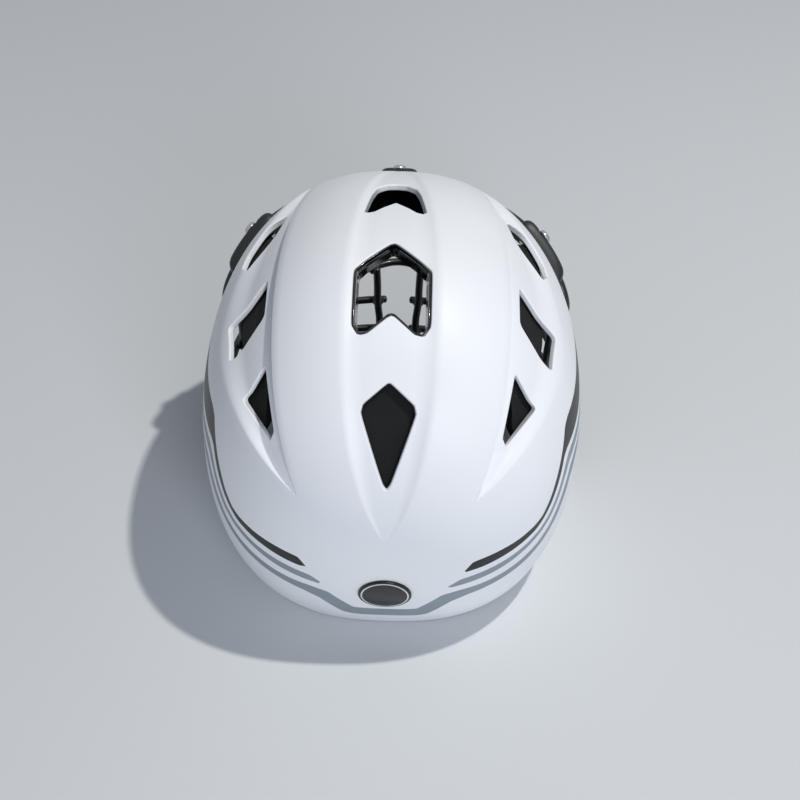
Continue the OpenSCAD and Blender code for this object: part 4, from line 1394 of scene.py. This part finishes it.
@dataclass
class ChinStrap:
    """Chin strap: two snaps on studs, webbing with slides, and a padded cup."""

    fore: float = 32.0
    z: float = 20.0
    stud_gap: float = 3.5
    snap_half: float = 1.6
    wide: float = 18.0
    thick: float = 2.0
    cup_reach: float = 126.0
    cup: Pair = (38.0, 17.0)

    @property
    def stud_x(self) -> float:
        """Distance of the shell from the middle at the studs."""
        return float(FORM.beside(-self.fore, self.z, 0)[0])

    @property
    def web_x(self) -> float:
        """Distance of the webbing from the middle at the studs."""
        return self.stud_x - FORM.wall - self.stud_gap - self.snap_half

    def cup_y(self, x: Array, z: Array) -> Array:
        """Front of the chin cup."""
        return -self.cup_reach + 0.0105 * x * x + 0.012 * (z - self.z) ** 2

    def run(self) -> Array:
        """Centre line of the left webbing, seen from above."""
        w = self.web_x
        knots = [(w - 0.4, -self.fore - 4), (w - 2.6, -48), (w - 9, -66), (72, -86), (55, -103),
                 (42, self.cup_y(42, self.z) - 1.6)]
        end = [(x, self.cup_y(x, self.z) - self.thick / 2 - 0.4) for x in (37, 32, 27)]
        return np.vstack([curve(knots, 8), end])

    def ways(self, index: int) -> tuple[Array, Array, Array]:
        """Point of the webbing's centre line, its direction there and the way outwards."""
        path = self.run()
        t = unit(path[index + 1] - path[index - 1])
        return path[index], t, np.array([t[1], -t[0]])

    def webbing(self) -> Shape:
        """Flat strap with rounded selvedges; its flat place is kept for the weave."""
        path = self.run()
        run = unit(np.gradient(path, axis=0))
        out = np.stack([run[:, 1], -run[:, 0]], 1)
        far = np.cumsum(np.linalg.norm(np.diff(path, axis=0, prepend=path[:1]), axis=1))
        turn = turns(28)
        z = self.z + signed_power(np.cos(turn), 0.16) * self.wide / 2
        deep = signed_power(np.sin(turn), 0.7)[:, None] * self.thick / 2
        made = swept([np.column_stack([p + n * deep, z]) for p, n in zip(path, out)], Ends.CAPPED)
        flat = [np.column_stack([np.full_like(z, s), z]) for s in far]
        made.flat = np.vstack(flat) / MM_PER_M
        return made

    def stitches(self) -> Shape:
        """Two rows of thread across the webbing, next to the snap and the cup."""
        count, gap, radius = 9, 1.8, 0.28
        bend = ((-0.62, 0.05), (0, 0.23), (0.62, 0.05))
        made = []
        for index in (5, 7, 27, 29):
            p, _, n = self.ways(index)
            for k in range(count):
                z = self.z + gap * (k - (count - 1) / 2)
                knots = [(*(p + n * (self.thick / 2 + lift)), z + s) for s, lift in bend]
                made.append(tube(curve(knots, 3), radius, 8))
        return reduce(Shape.joined, made)

    def slide(self) -> Shape:
        """Moulded keeper round the webbing with three grip ribs."""
        p, t, n = self.ways(16)
        rim = [(-6, 1.65, 9.55), (-5.9, 2.2, 11.4), (-5.5, 2.6, 11.9), (-4.6, 2.75, 12)]
        ribs = [
            (middle + step, high, 12) for middle in (-3, 0, 3)
            for step, high in ((-0.7, 2.5), (-0.3, 2.8), (0.3, 2.8), (0.7, 2.5))
        ]
        bore = [(5.2, 1.6, 9.5), (-5.2, 1.6, 9.5)]
        turn = turns(64)
        across, deep = (signed_power(f(turn), 0.22) for f in (np.cos, np.sin))
        rings = []
        for along, thick, wide in [*rim, *ribs, *((-a, d, w) for a, d, w in rim[::-1]), *bore]:
            xy = p + t * along + n * thick * deep[:, None]
            rings.append(np.column_stack([xy, self.z + wide * across]))
        return swept(rings, Ends.JOINED)

    def cup_layer(self, low: float, high: float, drop: float, share: float, deep: float) -> Shape:
        """Part of the chin cup between two depths behind its front.

        Args:
            low: depth of the face away from the chin.
            high: depth of the face towards the chin.
            drop: how much the free face falls at the edge.
            share: size against the whole cup.
            deep: depth of the channels in the free face.
        Returns:
            The part as a closed mesh.
        """
        reach = self.cup[0] * share, self.cup[1] * share
        wide, gap, shoulder, floor = 1.6, 18, 3, 0.6

        def channels(x: Array, h: Array) -> Array:
            """Depth of the channels in the free face."""
            return deep * np.maximum(np.exp(-((h / wide) ** 2)), groove(x, wide, gap))

        def surface(x: Array, h: Array, rise: Array) -> Array:
            """Point at the distance rise behind the layer's front."""
            x, h = x * reach[0], h * reach[1]
            return np.stack([x, self.cup_y(x, h + self.z) + low + rise, h + self.z - 1], -1)

        layer = Cushion((60, 60), 2.5, reach, high - low, shoulder * share, drop, floor)
        return layer.shape(channels, surface, True)

    def build(self) -> None:
        """Makes the strap's pieces."""
        side, foot = np.array([1.0, 0, 0]), np.array([0, -self.fore, self.z])
        web, strap = self.web_x, Body.STRAP
        head = (
            (0.01, 3.1), (1.6, 3.05), (3, 2.85), (4.1, 2.4), (4.65, 1.95), (4.8, 1.55),
            (4.7, 1.5), (3, 1.5),
        )
        post = ((3, -1.9), (4.6, -1.9), (4.8, -2.1), (4.8, -2.8), (4.5, -3.1), (0.01, -3.1))
        stud = [(r, self.stud_x + h) for r, h in head] + [(r, web + h) for r, h in post]
        studs = lathe(stud, foot, side).both_sides()
        place("strap_studs_turned", studs, [ZINC_STEEL], ("strap_studs",))
        cap = (
            (3.06, 1.3), (3.4, 1.55), (4.2, 1.6), (6, 1.6), (6.3, 1.35), (6.9, 1.35), (7.2, 1.58),
            (7.9, 1.5), (8.35, 1.1), (8.5, 0.5), (8.5, -0.6), (8.3, -1.2), (7.8, -1.6),
            (3.5, -1.6), (3.06, -1.3), (3.06, 1.3),
        )
        snaps = lathe([(r, web + h) for r, h in cap], foot, side, 48).both_sides()
        place("strap_snaps_moulded", snaps, [MOULDED_NYLON], ("strap_snaps",), strap)
        place_sides("strap_webbing", "woven", self.webbing(), WEBBING, body=strap)
        place("strap_stitches", self.stitches().both_sides(), [WEBBING_THREAD], (), strap)
        slides = self.slide().both_sides()
        place("strap_slides_moulded", slides, [MOULDED_NYLON], ("strap_slides",), strap)
        outer = self.cup_layer(0, 2.4, 0, 1, 0)
        place("chin_cup_outer", outer, [MOULDED_NYLON], ("chin_cup",), strap)
        lining = self.cup_layer(2, 7.9, 0.35, 0.96, 1.6)
        place("chin_cup_lining", lining, [EVA_FOAM], ("chin_cup",), strap)


@dataclass
class Studio:
    """Camera of the photograph's view, two lamps and a pale floor."""

    eye: Spot = (-0.0123, 0.6803, 0.6623)
    right: Spot = (-0.9995, -0.0261, 0.0165)
    up: Spot = (0.0296, -0.6556, 0.7545)
    lens: float = 67.5
    shift: Pair = (0.0, -0.00125)
    aim: Spot = (0, 0, 0.1)
    floor_half: float = 6.0

    def camera(self) -> None:
        """Sets the camera up from the fitted view."""
        data = bpy.data.cameras.new("camera")
        data.lens, data.sensor_width = self.lens, 36.0
        data.shift_x, data.shift_y = self.shift
        data.clip_start, data.clip_end = 0.01, 50.0
        made = link("camera", data)
        x, y = Vector(self.right).normalized(), Vector(self.up).normalized()
        z = x.cross(y).normalized()
        turn = Matrix((x, z.cross(x), z)).transposed().to_4x4()
        made.matrix_world = Matrix.Translation(self.eye) @ turn
        bpy.context.scene.camera = made

    def lamp(self, name: str, spot: Spot, size: float, watts: float, colour: str) -> None:
        """Adds a square lamp that looks at the helmet."""
        data = bpy.data.lights.new(name, "AREA")
        data.size, data.energy = size, watts
        data.color = linear(colour)[:3]
        made = link(name, data)
        made.location = spot
        look = Vector(self.aim) - Vector(spot)
        made.rotation_euler = look.to_track_quat("-Z", "Y").to_euler()

    def floor(self) -> None:
        """Lays the floor."""
        mesh = bpy.data.meshes.new("floor")
        r = self.floor_half
        mesh.from_pydata([(-r, -r, 0), (r, -r, 0), (r, r, 0), (-r, r, 0)], [], [(0, 1, 2, 3)])
        mesh.materials.append(STUDIO_BOARD.make())
        link("floor", mesh)

    def sky(self) -> None:
        """Even pale light from all round, with a plain pale background."""
        world = bpy.data.worlds.new("studio")
        bpy.context.scene.world = world
        world.use_nodes = True
        tree = world.node_tree
        tree.nodes.clear()
        light = add_node(tree, "Background", {"Color": linear("#E2EAF8"), "Strength": 0.28})
        seen = add_node(tree, "Background", {"Color": linear("#E4E7EA"), "Strength": 0.65})
        ray = add_node(tree, "LightPath").outputs
        shown = ray["Is Camera Ray"]
        for kind in ("Is Glossy Ray", "Is Transmission Ray"):
            shown = maths(tree, "MAXIMUM", shown, ray[kind])
        links = {"Fac": shown, 1: light.outputs[0], 2: seen.outputs[0]}
        mix = add_node(tree, "MixShader", None, links)
        add_node(tree, "OutputWorld", None, {"Surface": mix.outputs[0]})

    def build(self) -> None:
        """Sets the stage."""
        self.camera()
        self.floor()
        self.sky()
        self.lamp("key", (-0.7, 0.1, 2.0), 0.06, 21.0, "#FFFDF8")
        self.lamp("fill", (-0.6, 1.9, 0.8), 0.8, 15.0, "#F4F7FF")
        bpy.context.scene.view_settings.view_transform = "Standard"


def main() -> None:
    """Builds the stage, then the helmet piece by piece."""
    logging.basicConfig(level=logging.INFO, format="%(message)s")
    for part in (
        Studio(), HelmetShell(), VentBezel(), RearBadge(), *pads(), FaceCage(), CageClips(),
        ChinStrap(),
    ):
        part.build()


if __name__ == "__main__":
    main()
